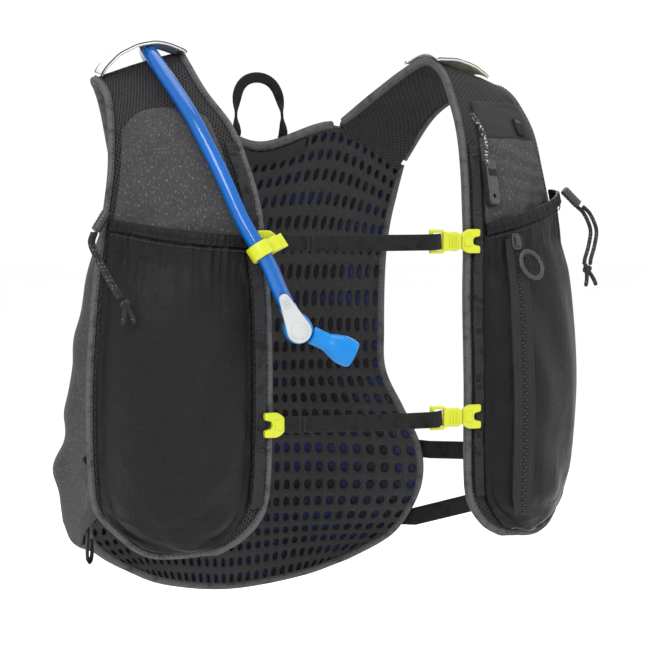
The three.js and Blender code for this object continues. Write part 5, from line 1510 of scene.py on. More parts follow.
@dataclass
class ShoulderPads:
    """The two padded panels that run from the chest over the shoulders, and their edge tapes."""

    thickness: float = PAD_THICKNESS
    cells: tuple[int, int] = (44, 170)
    tape_steps: int = 620
    seam_gap: float = 0.0014

    def build(self) -> None:
        """Builds the right panel and turns it into the left one."""
        end = 1 - self.seam_gap / float(np.linalg.norm(FRONT.along(np.array(0.5), np.array(1.0))))
        a, b = grid_places(*self.cells)
        beside = EDGE + 1.2 * LAYER_GAP - 0.0014
        u, v = inset_places(FRONT, a, b * end, (beside, beside, EDGE + 2 * LAYER_GAP, 0.0))
        crown = (1 - np.abs(2 * a - 1) ** 8) * (1 - np.abs(2 * b - 1) ** 40)
        puff = 0.00012 * ripple(v * 0.4 + 0.03 * np.sin(6 * a), 3, 0.02) * crown
        outer = FRONT.lifted(u, v, self.thickness * (0.72 + 0.28 * crown) + puff)
        inner = FRONT.lifted(u, v, self.thickness * 0.14 * (1 - crown) - puff)
        pad = slab(inner, outer, cloth_places(outer))
        trail = edge_trail(120, 60, end, 0.0)
        line, side_way, face = smooth_rim(FRONT, trail, 1, self.tape_steps)
        tape = sweep(line, side_way, face, binding_section(self.thickness, 1))
        seam = stitches(line + side_way * 0.0036 + face * (self.thickness + BINDING_PROUD), face, 0.003)
        for side in Side:
            piece = pad.turned(side).object(f"shoulder_pad_{side.word}", Finish.PAD_MESH.material())
            if side is Side.RIGHT:
                self.soften(piece)
                pad = Form(vertex_places(piece.data), pad.faces, pad.places)
            fixed(piece, "mesh", f"strap_{side.word}")
            edge = tape.turned(side).object(f"pad_edge_tape_{side.word}", Finish.BINDING.material())
            fixed(edge, "binding", f"strap_binding_{side.word}")
            thread = seam.turned(side).object(f"pad_edge_seam_{side.word}", Finish.THREAD.material())
            fixed(thread, "binding")

    def soften(self, piece: bpy.types.Object) -> None:
        """Lets the foam swell between its sewn edges."""
        across, along = self.cells
        spots = np.arange((across + 1) * (along + 1)).reshape(along + 1, across + 1)
        rows = (spots[0], spots[-1], spots[:, 0], spots[:, -1], spots[:, 1], spots[:, -2])
        rim = np.unique(np.concatenate(rows))
        pinned = np.concatenate([rim, rim + spots.size])
        settle(piece, pinned, pressure=0.5, frames=12, growth=0.004, gravity=0.0, cap=0.00025, stiffness=40)


@dataclass
class Mouth:
    """The mouth of a flask pocket: drops of its hem across, and how far its outer corner gapes."""

    inner: float
    middle: float
    outer: float
    flare: float

    def drop(self, a: Array) -> Array:
        """Drop of the hem at a share across."""
        bend = self.middle - (self.inner + self.outer) / 2
        return self.inner + (self.outer - self.inner) * a + bend * 4 * a * (1 - a)


MOUTHS = {Side.RIGHT: Mouth(0.107, 0.099, 0.086, 0.010), Side.LEFT: Mouth(0.113, 0.111, 0.104, 0.002)}


@dataclass
class FlaskPocket:
    """One soft flask pocket on a front panel."""

    side: Side
    mouth: Mouth
    bulge: float = 0.024
    hem_height: float = 0.0075
    hem_thickness: float = 0.0032
    cloth_thickness: float = 0.0006
    cells: tuple[int, int] = (62, 98)
    fullness: tuple[tuple[float, float], ...] = (
        (0.0, 0.0), (0.05, 0.42), (0.2, 0.82), (0.45, 1.0), (0.75, 0.86), (1.0, 0.45),
    )

    def __post_init__(self) -> None:
        """Finds how far up the panel the mouth is."""
        shares = np.array([0.0, 0.5, 1.0])
        self.rims = front_v(shares, self.mouth.drop(shares))

    def spot(self, a: Array, b: Array) -> tuple[Array, Array]:
        """Places on the panel for shares across and up the pocket."""
        a, b = np.broadcast_arrays(np.asarray(a, float), np.asarray(b, float))
        left_v, right_v = self.rims[0] * b, self.rims[2] * b
        deep = np.linalg.norm(FRONT.along(np.full_like(a, 0.5), np.zeros_like(a)), axis=-1)
        bottom = (EDGE + POCKET_MARGIN) / deep
        bend = self.rims[1] - (self.rims[0] + self.rims[2]) / 2
        v = left_v + (right_v - left_v) * a + bend * 4 * a * (1 - a) * b
        v = np.maximum(v, 0) + bottom * (1 - b)
        width = FRONT.width(v)
        start, end = TAPE_INSET / width, 1 - (EDGE + POCKET_MARGIN) / width
        return start + (end - start) * a, v

    def lift(self, a: Array, b: Array) -> Array:
        """How far the cloth stands off the panel."""
        table = np.array(self.fullness)
        share = np.interp(b, table[:, 0], table[:, 1])
        across = np.clip(1 - np.abs(2 * a - 1) ** 3, 0, 1) ** 0.6
        flare = self.mouth.flare * a**2 * np.clip(b, 0, 1.1) ** 8 * across
        return PAD_FACE + (self.bulge - PAD_FACE) * share * across + flare

    def point(self, a: Array, b: Array, out: Array | float = 0.0) -> Array:
        """Points on the cloth, or off it by out."""
        u, v = self.spot(a, b)
        return FRONT.lifted(u, v, self.lift(a, b) + out)

    def face(self, a: Array, b: Array) -> Array:
        """Directions off the cloth."""
        a, b = np.asarray(a, float), np.asarray(b, float)
        across = self.point(a + 0.01, b) - self.point(a - 0.01, b)
        up = self.point(a, b + 0.01) - self.point(a, b - 0.01)
        return unit(np.cross(across, up))

    def folds(self, a: Array, b: Array) -> Array:
        """Depth of the soft folds: gathers under the hem, pulls at the corners and a slack belly."""
        side = 11 if self.side is Side.RIGHT else 23
        x = a * 0.1
        gather = ripple(x + 0.012 * b, side, 0.0085) * np.clip((b - 0.72) / 0.28, 0, 1) ** 1.6
        long_pull = ripple(x + 0.05 * b, side + 1, 0.034) * np.exp(-((b - 0.55) / 0.4) ** 2)
        slant = ripple(a * 0.09 + b * 0.16, side + 2, 0.042) * np.exp(-((a - 0.3) / 0.35) ** 2)
        sag = ripple(b * 0.2 - a * 0.05, side + 3, 0.03) * np.exp(-((b - 0.12) / 0.16) ** 2)
        rim = np.clip(1 - np.abs(2 * a - 1) ** 6, 0, 1) * np.clip(b / 0.06, 0, 1)
        return (0.0013 * gather + 0.0017 * long_pull + 0.0024 * slant + 0.0014 * sag - 0.0006) * rim

    def build(self) -> None:
        """Builds the pocket's cloth and its gathered hem."""
        a, b = grid_places(*self.cells)
        outer = self.point(a, b, -self.cloth_thickness)
        u, v = self.spot(a, b)
        rim = (a == 0) | (a == 1) | (b == 0)
        outer[rim] = FRONT.lifted(u, v, PAD_THICKNESS + LAYER_GAP)[rim]
        spots = np.arange(a.size).reshape(a.shape)
        quads = np.stack([spots[:-1, :-1], spots[:-1, 1:], spots[1:, 1:], spots[1:, :-1]], axis=-1)
        cloth = Form(outer.reshape(-1, 3), [tuple(face) for face in quads.reshape(-1, 4).tolist()],
                     cloth_places(outer).reshape(-1, 2))
        piece = cloth.turned(self.side).object(f"flask_pocket_cloth_{self.side.word}", Finish.RIPSTOP.material())
        edge = np.unique(np.concatenate([spots[0], spots[-1], spots[:, 0], spots[:, -1], spots[-2]]))
        settle(piece, edge, pressure=0.3, frames=22, growth=0.02, gravity=0.35, cap=0.004, stiffness=9)
        out = self.face(np.clip(a, 0.01, 0.99), np.clip(b, 0.01, 0.985)).reshape(-1, 3)
        slack = self.folds(a, b).reshape(-1, 1)
        folded = vertex_places(piece.data) + self.side.turned(out) * slack
        piece.data.vertices.foreach_set("co", folded.astype(np.float32).ravel())
        piece.data.update()
        modified(piece, "SUBSURF", levels=1, render_levels=1)
        modified(piece, "SOLIDIFY", thickness=self.cloth_thickness, offset=-1.0)
        fixed(piece, "ripstop", f"flask_pocket_{self.side.word}")
        corner = self.side.turned(self.point(np.array([0.0, 1.0]), np.array([0.5, 0.5])))
        tall = line_length(self.point(np.full(30, 0.5), np.linspace(0, 1, 30)))
        hem = self.hem()

    def hem(self) -> bpy.types.Object:
        """The elastic casing at the mouth, gathered in small folds."""
        across, ring = 190, 22
        a = np.linspace(0.012, 0.988, across)
        rise = self.hem_height / float(np.linalg.norm(FRONT.along(np.array(0.5), self.rims[1:2])[0]))
        u, v = self.spot(a, np.ones_like(a))
        low = np.maximum(self.lift(a, np.ones_like(a)) - self.hem_thickness / 2, PANEL_FACE + LAYER_GAP)
        seed = 5 if self.side is Side.RIGHT else 8
        turn = np.linspace(0, 2 * math.pi, ring, endpoint=False)
        high_part, deep_part = np.sin(turn), np.cos(turn)
        squared = np.sign(high_part) * np.abs(high_part) ** 0.6
        deep = np.sign(deep_part) * np.abs(deep_part) ** 0.7
        far = a * 0.105
        rings = []
        for h, d, t in zip(squared, deep, turn):
            ruff = 0.00062 * ripple(far + 0.0012 * math.sin(t), seed, 0.0042)
            ruff = ruff + 0.0003 * ripple(far, seed + 1, 0.0019)
            flat = v + rise * (0.5 + 0.5 * h)
            pinch = 0.74 + 0.26 * abs(h)
            out = low + self.hem_thickness * (0.5 + 0.44 * d * pinch) + ruff * (0.4 + 0.6 * abs(d))
            rings.append(FRONT.lifted(u, flat, out))
        rings_at = np.stack(rings, axis=1)
        reach = walked(rings_at[:, 0])
        spots = np.arange(across * ring).reshape(across, ring)
        around = np.roll(spots, -1, 1)
        quads = np.stack([spots[:-1], around[:-1], around[1:], spots[1:]], axis=-1)
        faces = [tuple(face) for face in quads.reshape(-1, 4).tolist()]
        faces += [tuple(reversed(spots[0].tolist())), tuple(spots[-1].tolist())]
        places = np.stack(np.broadcast_arrays(reach[:, None], turn[None] * 0.003), axis=-1)
        body = faced_out(Form(rings_at.reshape(-1, 3), faces, places.reshape(-1, 2)))
        line = self.point(a, np.full_like(a, 0.985), 0.0007 + self.folds(a, np.full_like(a, 0.985)))
        thread = stitches(line, self.face(np.clip(a, 0.02, 0.98), np.full_like(a, 0.97)), 0.0028)
        seam = thread.turned(self.side).object(f"hem_seam_{self.side.word}", Finish.THREAD.material())
        fixed(seam, "ripstop")
        piece = body.turned(self.side).object(f"gathered_hem_{self.side.word}", Finish.RIPSTOP.material())
        return fixed(piece, "ripstop", f"pocket_hem_{self.side.word}")


@dataclass
class ZipLine:
    """The zip down the front of the right flask pocket."""

    pocket: FlaskPocket
    place: float = 0.2
    low: float = 0.13
    top_drop: float = 0.114
    width: float = 0.012
    span: float = 0.53
    tooth_pitch: float = 0.0021
    slider_length: float = 0.011
    slider_width: float = 0.0072
    pull_height: float = 0.021
    pull_width: float = 0.016
    pull_diameter: float = 0.0032

    def build(self) -> None:
        """Builds the zip's tapes, coil, slider and pull."""
        high = 1 - (self.top_drop - self.pocket.mouth.inner) / (FRONT_DROP - self.pocket.mouth.inner)
        lift = LAYER_GAP * 1.5 + 0.0006
        half = self.width / (CHEST_HALF_WIDTH * self.span) / 2
        b = np.linspace(self.low, high, 150)
        shares = np.linspace(-1, 1, 19)
        groove = 0.0005 * np.exp(-(shares / 0.24) ** 2)
        lip = 0.00055 * (np.exp(-((np.abs(shares) - 0.42) / 0.12) ** 2))
        a, rows = np.meshgrid(self.place + shares * half, b)
        top = self.pocket.point(a, rows, lift + 0.0006 + (lip - groove)[None, :])
        under = self.pocket.point(a, rows, lift - 0.0003)
        tape = slab(under, top, cloth_places(top)).object("zip_tape", Finish.FLAP.material())
        fixed(tape, "trim", "pocket_zip")
        line = even_line(self.pocket.point(np.full_like(b, self.place), b, lift + 0.0006), 900)
        fine = np.linspace(self.low, high, 900)
        across = unit(self.pocket.point(np.full(900, self.place + 0.02), fine, lift)
                      - self.pocket.point(np.full(900, self.place - 0.02), fine, lift))
        out = unit(np.cross(across, tangents(line)))
        self.coil(line, across, out)
        for k, turn in enumerate((-1, 1)):
            edge = self.pocket.point(np.full_like(b, self.place + turn * half * 0.86), b, lift + 0.0007)
            face = self.pocket.face(np.full_like(b, self.place), b)
            seam = stitches(edge, face, 0.0026, 0.0005).object(f"zip_seam_{k + 1}", Finish.THREAD.material())
            fixed(seam, "trim")
        self.slider(high)

    def coil(self, line: Array, across: Array, out: Array) -> None:
        """The row of interlocking teeth."""
        count = int(line_length(line) / self.tooth_pitch)
        spots = np.linspace(6, len(line) - 7, count).astype(int)
        corners = np.array([(-1, -1, 0), (1, -1, 0), (1, 1, 0), (-1, 1, 0), (-0.7, -0.6, 1), (0.7, -0.6, 1),
                            (0.7, 0.6, 1), (-0.7, 0.6, 1)], float)
        faces = [(3, 2, 1, 0), (4, 5, 6, 7), (0, 1, 5, 4), (1, 2, 6, 5), (2, 3, 7, 6), (3, 0, 4, 7)]
        teeth = []
        along = tangents(line)
        for k, spot in enumerate(spots):
            shift = across[spot] * (0.0006 if k % 2 else -0.0006)
            size = corners * np.array([0.00115, 0.00062, 0.0008])
            points = line[spot] + shift - out[spot] * 0.0003 + size[:, :1] * across[spot] \
                + size[:, 1:2] * along[spot] + size[:, 2:] * out[spot]
            teeth.append(Form(points, faces, size[:, :2]))
        fixed(merged(teeth).object("zip_teeth", Finish.BLACK.material(), smooth=False), "trim")

    def slider(self, high: float) -> None:
        """The slider with its bridge, and the moulded loop that pulls it."""
        spot = high - 0.02
        face = self.pocket.face(self.place, spot)
        down = unit(self.pocket.point(self.place, spot - 0.05) - self.pocket.point(self.place, spot))
        at = self.pocket.point(self.place, spot, LAYER_GAP * 2.5 + 0.0016)
        half, wide = self.slider_length / 2, self.slider_width / 2
        outline = rounded([
            (-half, -wide * 0.65), (half * 0.4, -wide), (half, -wide * 0.55),
            (half, wide * 0.55), (half * 0.4, wide), (-half, wide * 0.65),
        ], 0.0014, 4)
        plate = plate_form(outline, [], 0.0016, 0.0004)
        arch = np.linspace(0, math.pi, 16)
        bridge = np.stack([np.cos(arch) * half * 0.6, np.zeros(16), 0.0003 + np.sin(arch) * 0.0016], axis=1)
        strap = ribbon_form(bridge, np.array([0, 1.0, 0]), 0.0026, 0.0008)
        body = merged([plate.moved(0.0, 0.0008), strap.moved(0.0, 0.0012)])
        piece = placed(body, at, down, face).object("zip_slider_body", Finish.BLACK.material())
        fixed(piece, "trim", "zip_slider")
        lean = unit(np.cross(face, down))
        drop = unit(down + lean * 0.45)
        across = unit(np.cross(face, drop))
        proud = self.pull_diameter / 2 + 2 * LAYER_GAP
        centre = at + drop * (half + self.pull_height / 2 + 0.001) + face * proud
        turn = np.linspace(0, 2 * math.pi, 56, endpoint=False)
        tall, broad = (self.pull_height - self.pull_diameter) / 2, (self.pull_width - self.pull_diameter) / 2
        loop = centre + drop * (np.cos(turn) * tall)[:, None] + across * (np.sin(turn) * broad)[:, None]
        out = drop * np.cos(turn)[:, None] + across * np.sin(turn)[:, None]
        swell = 1 + 0.12 * np.cos(turn * 14)
        section = ring_section(self.pull_diameter / 2, 12)[None] * swell[:, None, None]
        ring = sweep(loop, out, np.broadcast_to(face, loop.shape), section, closed=True)
        piece = ring.object("zip_pull_loop", Finish.BLACK.material())
        fixed(piece, "trim", "zip_pull")


@dataclass
class ChestPanels:
    """The panels above the pockets with the flap, ladder tapes, tube loops and pull tab."""

    top_drop: float = 0.037
    flap_height: float = 0.022
    flap_thickness: float = 0.0018
    tape_top: float = 0.052
    tape_bottom: float = 0.268
    bartack_pitch: float = 0.035
    loop_width: float = 0.020
    loop_thickness: float = 0.0014
    tab_place: float = 0.68
    tab_drop: float = 0.0415

    def sheet(self, low: Array, high: Array, lift: float, thickness: float, crease: float, seed: int,
              cells: tuple[int, int] = (46, 60)) -> tuple[Form, Array, Array]:
        """A sewn-on sheet between two drops.

        Args:
            low: Drops of its lower edge, one for each column.
            high: Drops of its upper edge.
            lift: How far off the panel its underside lies.
            thickness: Its thickness.
            crease: Height of its soft folds.
            seed: Which set of folds.
            cells: Cells across and up.

        Returns:
            The sheet, its upper edge, and the directions off that edge.
        """
        a, b = grid_places(*cells)
        row = np.linspace(0, 1, cells[0] + 1)
        from_v, to_v = front_v(row, low), front_v(row, high)
        v = from_v + (to_v - from_v) * b
        inner = TAPE_INSET + FABRIC_THICKNESS + POCKET_MARGIN
        outer = EDGE + 2 * POCKET_MARGIN + FABRIC_THICKNESS
        width = FRONT.width(v)
        u = inner / width + a * (1 - (inner + outer) / width)
        rim = np.clip(1 - np.abs(2 * a - 1) ** 8, 0, 1) * np.clip(1 - np.abs(2 * b - 1) ** 12, 0, 1)
        waves = ripple(b * 0.11 + a * 0.035, seed, 0.026) + 0.6 * ripple(a * 0.09 - b * 0.05, seed + 1, 0.02)
        soft = crease * waves * rim
        rolled = 0.3 + 0.7 * np.clip(rim * 1.6, 0, 1)
        upper = FRONT.lifted(u, v, lift + thickness * rolled + np.maximum(soft + crease * 0.6, 0))
        lower = FRONT.lifted(u, v, lift)
        top = FRONT.lifted(u, v, lift + thickness * 1.05)[-4]
        return slab(lower, upper, cloth_places(upper)), top, FRONT.normal(u, v)[-4]

    def build(self) -> None:
        """Builds every sheet and tape on the fronts of the panels."""
        row = np.linspace(0, 1, 47)
        arch = self.top_drop - 0.005 * np.sin(math.pi * row) + 0.007 * row**7
        form, top, off = self.sheet(MOUTHS[Side.LEFT].drop(row) + 0.004, arch, PAD_FACE + LAYER_GAP, FABRIC_THICKNESS,
                                    0.0012, 31)
        self.sewn(form, top, off, Side.LEFT, "chest_panel_cloth_left", Finish.HEATHER, "heather",
                  "chest_panel_left")
        low = self.top_drop + self.flap_height / 2
        form, top, off = self.sheet(MOUTHS[Side.RIGHT].drop(row) + 0.004, np.full(47, low - 0.001), PAD_FACE,
                                    FABRIC_THICKNESS, 0.0015, 37)
        self.sewn(form, top, off, Side.RIGHT, "chest_panel_cloth_right", Finish.HEATHER, "heather",
                  "chest_panel_right")
        peak = self.top_drop - self.flap_height / 2 - 0.001 + 0.006 * np.clip(row - 0.55, 0, 1) ** 1.5
        form, top, off = self.sheet(np.full(47, low), peak, PAD_FACE + 0.0006, self.flap_thickness - 0.0004,
                                    0.0004, 41, (46, 20))
        self.sewn(form, top, off, Side.RIGHT, "chest_flap_cloth", Finish.FLAP, "flap", "chest_flap")
        for side in Side:
            self.ladder(side)
        self.tube_loop(Side.RIGHT, 0.004, 0.7)
        self.tube_loop(Side.LEFT, 0.0128, 0.92)
        self.pull_tab()

    def sewn(self, form: Form, top: Array, off: Array, side: Side, name: str, finish: Finish, slot: str,
             node: str) -> None:
        """Makes a sheet with the seam along its top."""
        piece = form.turned(side).object(name, finish.material())
        fixed(piece, slot, node)
        seam = stitches(top, off, 0.0029).turned(side).object(f"{name}_seam", Finish.THREAD.material())
        fixed(seam, slot)
        line = side.turned(top)

    def ladder(self, side: Side) -> None:
        """The ladder tape down the inner edge, tacked down at even steps."""
        drops = np.linspace(self.tape_bottom, self.tape_top, 240)
        v = front_v(np.zeros(240), drops)
        width = FRONT.width(v)
        tacks = np.arange(self.tape_top + 0.006, self.tape_bottom, self.bartack_pitch)
        near = np.min(np.abs(drops[:, None] - tacks[None]), axis=1)
        bow = 0.0007 * (1 - np.exp(-((near / 0.006) ** 2)))
        shares = np.linspace(0, 1, 11)
        u = (EDGE + LADDER_TAPE_WIDTH * shares[None]) / width[:, None]
        rows = np.broadcast_to(v[:, None], u.shape)
        edge = 0.00035 * (np.abs(2 * shares - 1) > 0.75)
        outer = FRONT.lifted(u, rows, PAD_FACE + FABRIC_THICKNESS + bow[:, None] + edge[None])
        inner = FRONT.lifted(u, rows, PAD_FACE + 0.0002 + bow[:, None])
        piece = slab(inner, outer, cloth_places(outer)).turned(side).object(
            f"ladder_webbing_{side.word}", Finish.LADDER.material())
        fixed(piece, "webbing", f"ladder_tape_{side.word}")
        rows_of_thread = []
        for drop in tacks:
            spot = front_v(np.zeros(12), np.full(12, drop))
            across = np.linspace(0.0008, LADDER_TAPE_WIDTH - 0.0008, 12)
            for shift in (-0.0006, 0.0, 0.0006):
                at_v = front_v(np.zeros(12), np.full(12, drop + shift))
                line = FRONT.lifted((EDGE + across) / FRONT.width(spot), at_v,
                                    PAD_FACE + FABRIC_THICKNESS + 0.0003)
                rows_of_thread.append(stitches(line, FRONT.normal(np.full(12, 0.05), at_v), 0.0011, 0.0008))
        tack = merged(rows_of_thread).turned(side).object(f"ladder_tacks_{side.word}", Finish.BLACK.material())
        fixed(tack, "webbing")

    def tube_loop(self, side: Side, rise: float, end: float) -> None:
        """The reflective loop over the shoulder, with thin dark edges."""
        apex = (len(FRONT_RUNGS) + 2) / (len(FRONT_RUNGS) + len(SHOULDER_RUNGS))
        half = self.loop_width / 2 / float(np.linalg.norm(FRONT.along(np.array(0.5), np.array(apex))))
        a, b = grid_places(64, 14)
        u, v = 0.01 + (end - 0.01) * a, apex + (2 * b - 1) * half
        arch = PAD_FACE + 2 * BINDING_PROUD + rise * np.clip(np.sin(math.pi * a), 0, 1) ** 0.8
        arch = arch + 0.0005 * ripple(a * 0.07, 51 + side.value, 0.02) * np.sin(math.pi * a)
        outer, inner = FRONT.lifted(u, v, arch + self.loop_thickness), FRONT.lifted(u, v, arch + 0.0002)
        finish = Finish.REFLECTIVE_TINTED if side is Side.RIGHT else Finish.REFLECTIVE
        tape = slab(inner, outer, cloth_places(outer)).turned(side).object(
            f"tube_loop_tape_{side.word}", finish.material())
        fixed(tape, "reflective", f"tube_loop_{side.word}")
        edges = []
        for share in (0.03, 0.97):
            at_v = apex + (2 * share - 1) * half
            line = FRONT.lifted(u[0], np.full(65, at_v), arch[0] + self.loop_thickness * 0.75)
            across = FRONT.along(u[0], np.full(65, at_v))
            edges.append(ribbon_form(line, unit(across), 0.0014, 0.0017))
        edge = merged(edges).turned(side).object(f"tube_loop_edges_{side.word}", Finish.BINDING.material())
        fixed(edge, "reflective")

    def pull_tab(self) -> None:
        """The elastic pull tab on the flap."""
        v = front_v(np.array(self.tab_place), np.array(self.tab_drop))
        at = FRONT.lifted(np.array(self.tab_place), v, PAD_FACE + self.flap_thickness + 0.0016)
        down = -unit(FRONT.along(np.array(self.tab_place), v))
        outline = rounded([(-0.0065, -0.0042), (0.0045, -0.0045), (0.0065, -0.0032), (0.0065, 0.0032),
                           (0.0045, 0.0045), (-0.0065, 0.0042)], 0.0016, 5)
        tab = plate_form(outline, [], 0.0018, 0.0005)
        normal = FRONT.normal(np.array(self.tab_place), v)
        piece = placed(tab, at, down, normal).object("elastic_pull_tab", Finish.WEBBING.material())
        fixed(piece, "webbing", "pull_tab")
        across = unit(np.cross(normal, down))
        sewn = [at + down * x + across * np.linspace(-0.0032, 0.0032, 8)[:, None] + normal * 0.0009
                for x in (-0.0045, -0.003)]
        seam = merged([stitches(line, np.broadcast_to(normal, line.shape), 0.0014) for line in sewn])
        fixed(seam.object("pull_tab_seam", Finish.PALE_THREAD.material()), "webbing")


@dataclass
class ChestStraps:
    """The two chest straps with their moulded hooks and fastened buckles."""

    width: float = 0.010
    thickness: float = 0.0013
    clasp_height: float = 0.015
    clasp_thickness: float = 0.0034
    hook_length: float = 0.013
    body_length: float = 0.012
    frame_length: float = 0.010
    bar: float = 0.002
    drops: tuple[tuple[str, float], ...] = (("upper", 0.110), ("lower", 0.218))

    def build(self) -> None:
        """Builds both straps."""
        for level, drop in self.drops:
            seat = FRONT.lifted(np.array(0.0), front_v(np.array(0.0), np.array(drop)),
                                PAD_FACE + FABRIC_THICKNESS + self.clasp_thickness / 2)
            reach = float(seat[0]) - self.hook_length * 0.45
            for side in Side:
                self.hook(side, level, np.array([side.value * reach, seat[1], seat[2]]))
            self.buckle(level, np.array([reach - LAYER_GAP, seat[1], seat[2]]))
            self.strap(level, reach, seat)

    def hook(self, side: Side, level: str, at: Array) -> None:
        """The forked hook that grips the ladder tape."""
        half, reach = self.clasp_height / 2, self.hook_length
        outline = [
            (0, -half * 0.55), (reach * 0.16, -half * 0.8), (reach * 0.36, -half), (reach, -half),
            (reach, -half * 0.4), (reach * 0.66, -half * 0.3), (reach * 0.6, 0), (reach * 0.66, half * 0.3),
            (reach, half * 0.4), (reach, half), (reach * 0.36, half), (reach * 0.16, half * 0.8), (0, half * 0.55),
        ]
        turned = [(x * side.value, y) for x, y in outline]
        if side is Side.LEFT:
            turned = turned[::-1]
        plate = plate_form(rounded(turned, 0.0013, 5), [], self.clasp_thickness, 0.0008, 4)
        rib = plate_form(rounded([
            (reach * 0.1 * side.value, -half * 0.42), (reach * 0.5 * side.value, -half * 0.42),
            (reach * 0.5 * side.value, half * 0.42), (reach * 0.1 * side.value, half * 0.42),
        ][::side.value], 0.001, 4), [], 0.0012, 0.0004)
        body = merged([plate, rib.moved(0.0, self.clasp_thickness / 2)])
        piece = placed(body, at, np.array([1.0, 0, 0]), np.array([0, -1.0, 0])).object(
            f"yellow_hook_{side.word}_{level}", Finish.YELLOW.material())
        fixed(piece, "yellow", f"clasp_hook_{side.word}_{level}")

    def buckle(self, level: str, at: Array) -> None:
        """The buckle's body and slider frame; its right end is at the point given."""
        half, neck = self.clasp_height / 2, -self.body_length
        far = neck - self.frame_length
        outline = [
            (0, -half * 0.55), (0, half * 0.55), (neck * 0.3, half * 0.82), (neck * 0.75, half * 0.76),
            (neck, half * 0.8), (neck - 0.0012, half), (far, half), (far, -half), (neck - 0.0012, -half),
            (neck, -half * 0.8), (neck * 0.75, -half * 0.76), (neck * 0.3, -half * 0.82),
        ]
        slot = rounded([(far + self.bar, -half + self.bar), (neck - self.bar / 2, -half + self.bar),
                        (neck - self.bar / 2, half - self.bar), (far + self.bar, half - self.bar)], 0.0008, 4)
        plate = plate_form(rounded(outline[::-1], 0.0012, 5), [slot], self.clasp_thickness, 0.0008, 4)
        parts = [plate]
        for k in range(3):
            x = neck * (0.3 + 0.2 * k)
            rib = plate_form(rounded([(x - 0.0006, -half * 0.5), (x + 0.0006, -half * 0.5),
                                      (x + 0.0006, half * 0.5), (x - 0.0006, half * 0.5)], 0.0004, 3),
                             [], 0.001, 0.0003)
            parts.append(rib.moved(0.0, self.clasp_thickness / 2))
        piece = placed(merged(parts), at, np.array([1.0, 0, 0]), np.array([0, -1.0, 0])).object(
            f"yellow_buckle_{level}", Finish.YELLOW.material())
        fixed(piece, "yellow", f"buckle_{level}")

    def strap(self, level: str, reach: float, seat: Array) -> None:
        """The webbing, tucked through the buckle's frame."""
        frame = reach - LAYER_GAP - self.body_length - self.frame_length
        proud = (self.clasp_thickness + self.thickness) / 2 + LAYER_GAP
        bar = self.bar
        tuck = [(frame - 3 * bar, 0.0), (frame - 1.6 * bar, -proud * 0.5), (frame - bar / 2, -proud),
                (frame + 1.5 * bar, -proud), (frame + 3 * bar, -self.thickness), (frame + 3.8 * bar, 0.0)]
        start = -reach + LAYER_GAP
        run = [(start + (tuck[0][0] - start) * k / 8, 0.0) for k in range(8)]
        sag = 0.0012 if level == "lower" else 0.0006
        points = np.array([(x, seat[1] + y, seat[2]) for x, y in run + tuck])
        points[:, 2] -= sag * np.sin(np.linspace(0, math.pi, len(points)))
        line = even_line(points, 160)
        piece = ribbon_form(line, np.array([0, 0, 1.0]), self.width, self.thickness).object(
            f"chest_webbing_{level}", Finish.WEBBING.material())
        fixed(piece, "webbing", f"chest_strap_{level}")
        spot = 28 if level == "upper" else 14
        keeper = []
        for k in range(2):
            at = line[spot + 5 * k]
            loop = np.array([at + [0, -self.thickness / 2 - 0.0002, z] for z in np.linspace(-0.0045, 0.0045, 20)])
            keeper.append(stitches(loop, np.broadcast_to(np.array([0, -1.0, 0]), loop.shape), 0.0014, 0.0007))
        fixed(merged(keeper).object(f"chest_webbing_tack_{level}", Finish.BLACK.material()), "webbing")


@dataclass
class SideStraps:
    """The adjuster straps under the arms."""

    width: float = 0.012
    thickness: float = 0.0014
    bow: float = 0.006
    behind: float = 0.0062
    tail_length: float = 0.017
    tail_place: float = 0.55
    runs: tuple[tuple[str, float, float], ...] = (("upper", 0.64, 0.250), ("lower", 0.82, 0.268))

    def build(self) -> None:
        """Builds both straps of each side and the folded tail on the left."""
        for level, place, drop in self.runs:
            wing = BACK.lifted(np.array(1.0), np.array(place), MESH_THICKNESS / 2)
            wing = wing + [self.thickness + 5 * LAYER_GAP, 0, 0]
            v = front_v(np.array(1.0), np.array(drop))
            chest = FRONT.lifted(1 - 0.003 / FRONT.width(v), v, -self.thickness - 2 * BINDING_PROUD)
            middle = (wing + chest) / 2 + [self.bow, 0, 0]
            t = np.linspace(0, 1, 90)[:, None]
            line = wing * (1 - t) ** 2 + middle * 2 * t * (1 - t) + chest * t**2
            inner = BACK.lifted(1 - np.array([0.012, 0.007, 0.002]) / BACK.width(np.full(3, place)),
                                np.full(3, place), self.behind)
            whole = even_line(np.concatenate([inner, line[2:]]), 96)
            for side in Side:
                run = side.turned(whole)
                piece = ribbon_form(run, np.array([0, 0, 1.0]), self.width, self.thickness).object(
                    f"side_webbing_{side.word}_{level}", Finish.WEBBING.material())
                fixed(piece, "webbing", f"side_strap_{side.word}_{level}")
            if level == "lower":
                self.tail(Side.LEFT.turned(line))

    def tail(self, line: Array) -> None:
        """The loose end of the left lower strap, folded back on itself."""
        spot = int(self.tail_place * (len(line) - 1))
        along = tangents(line)[spot] * [1, 1, 0]
        along = unit(along)
        out = np.cross([0, 0, 1.0], along)
        top = self.width / 2 + 5 * LAYER_GAP
        fold = np.array([[0.47, -0.62], [0.47, -0.2], [0.3, 0.35], [0.3, 0.85], [0.45, 1], [0.8, 0.97],
                         [1.1, 0.75], [1.1, 0.2]])
        points = line[spot] + out * fold[:, :1] * 2.5 * self.thickness \
            + np.array([0, 0, -1.0]) * (top + fold[:, 1:] * self.tail_length)
        smooth = even_line(points, 70)
        piece = ribbon_form(smooth, along, self.width, self.thickness).object(
            "side_webbing_tail", Finish.WEBBING.material())
        fixed(piece, "webbing", "strap_tail_left")


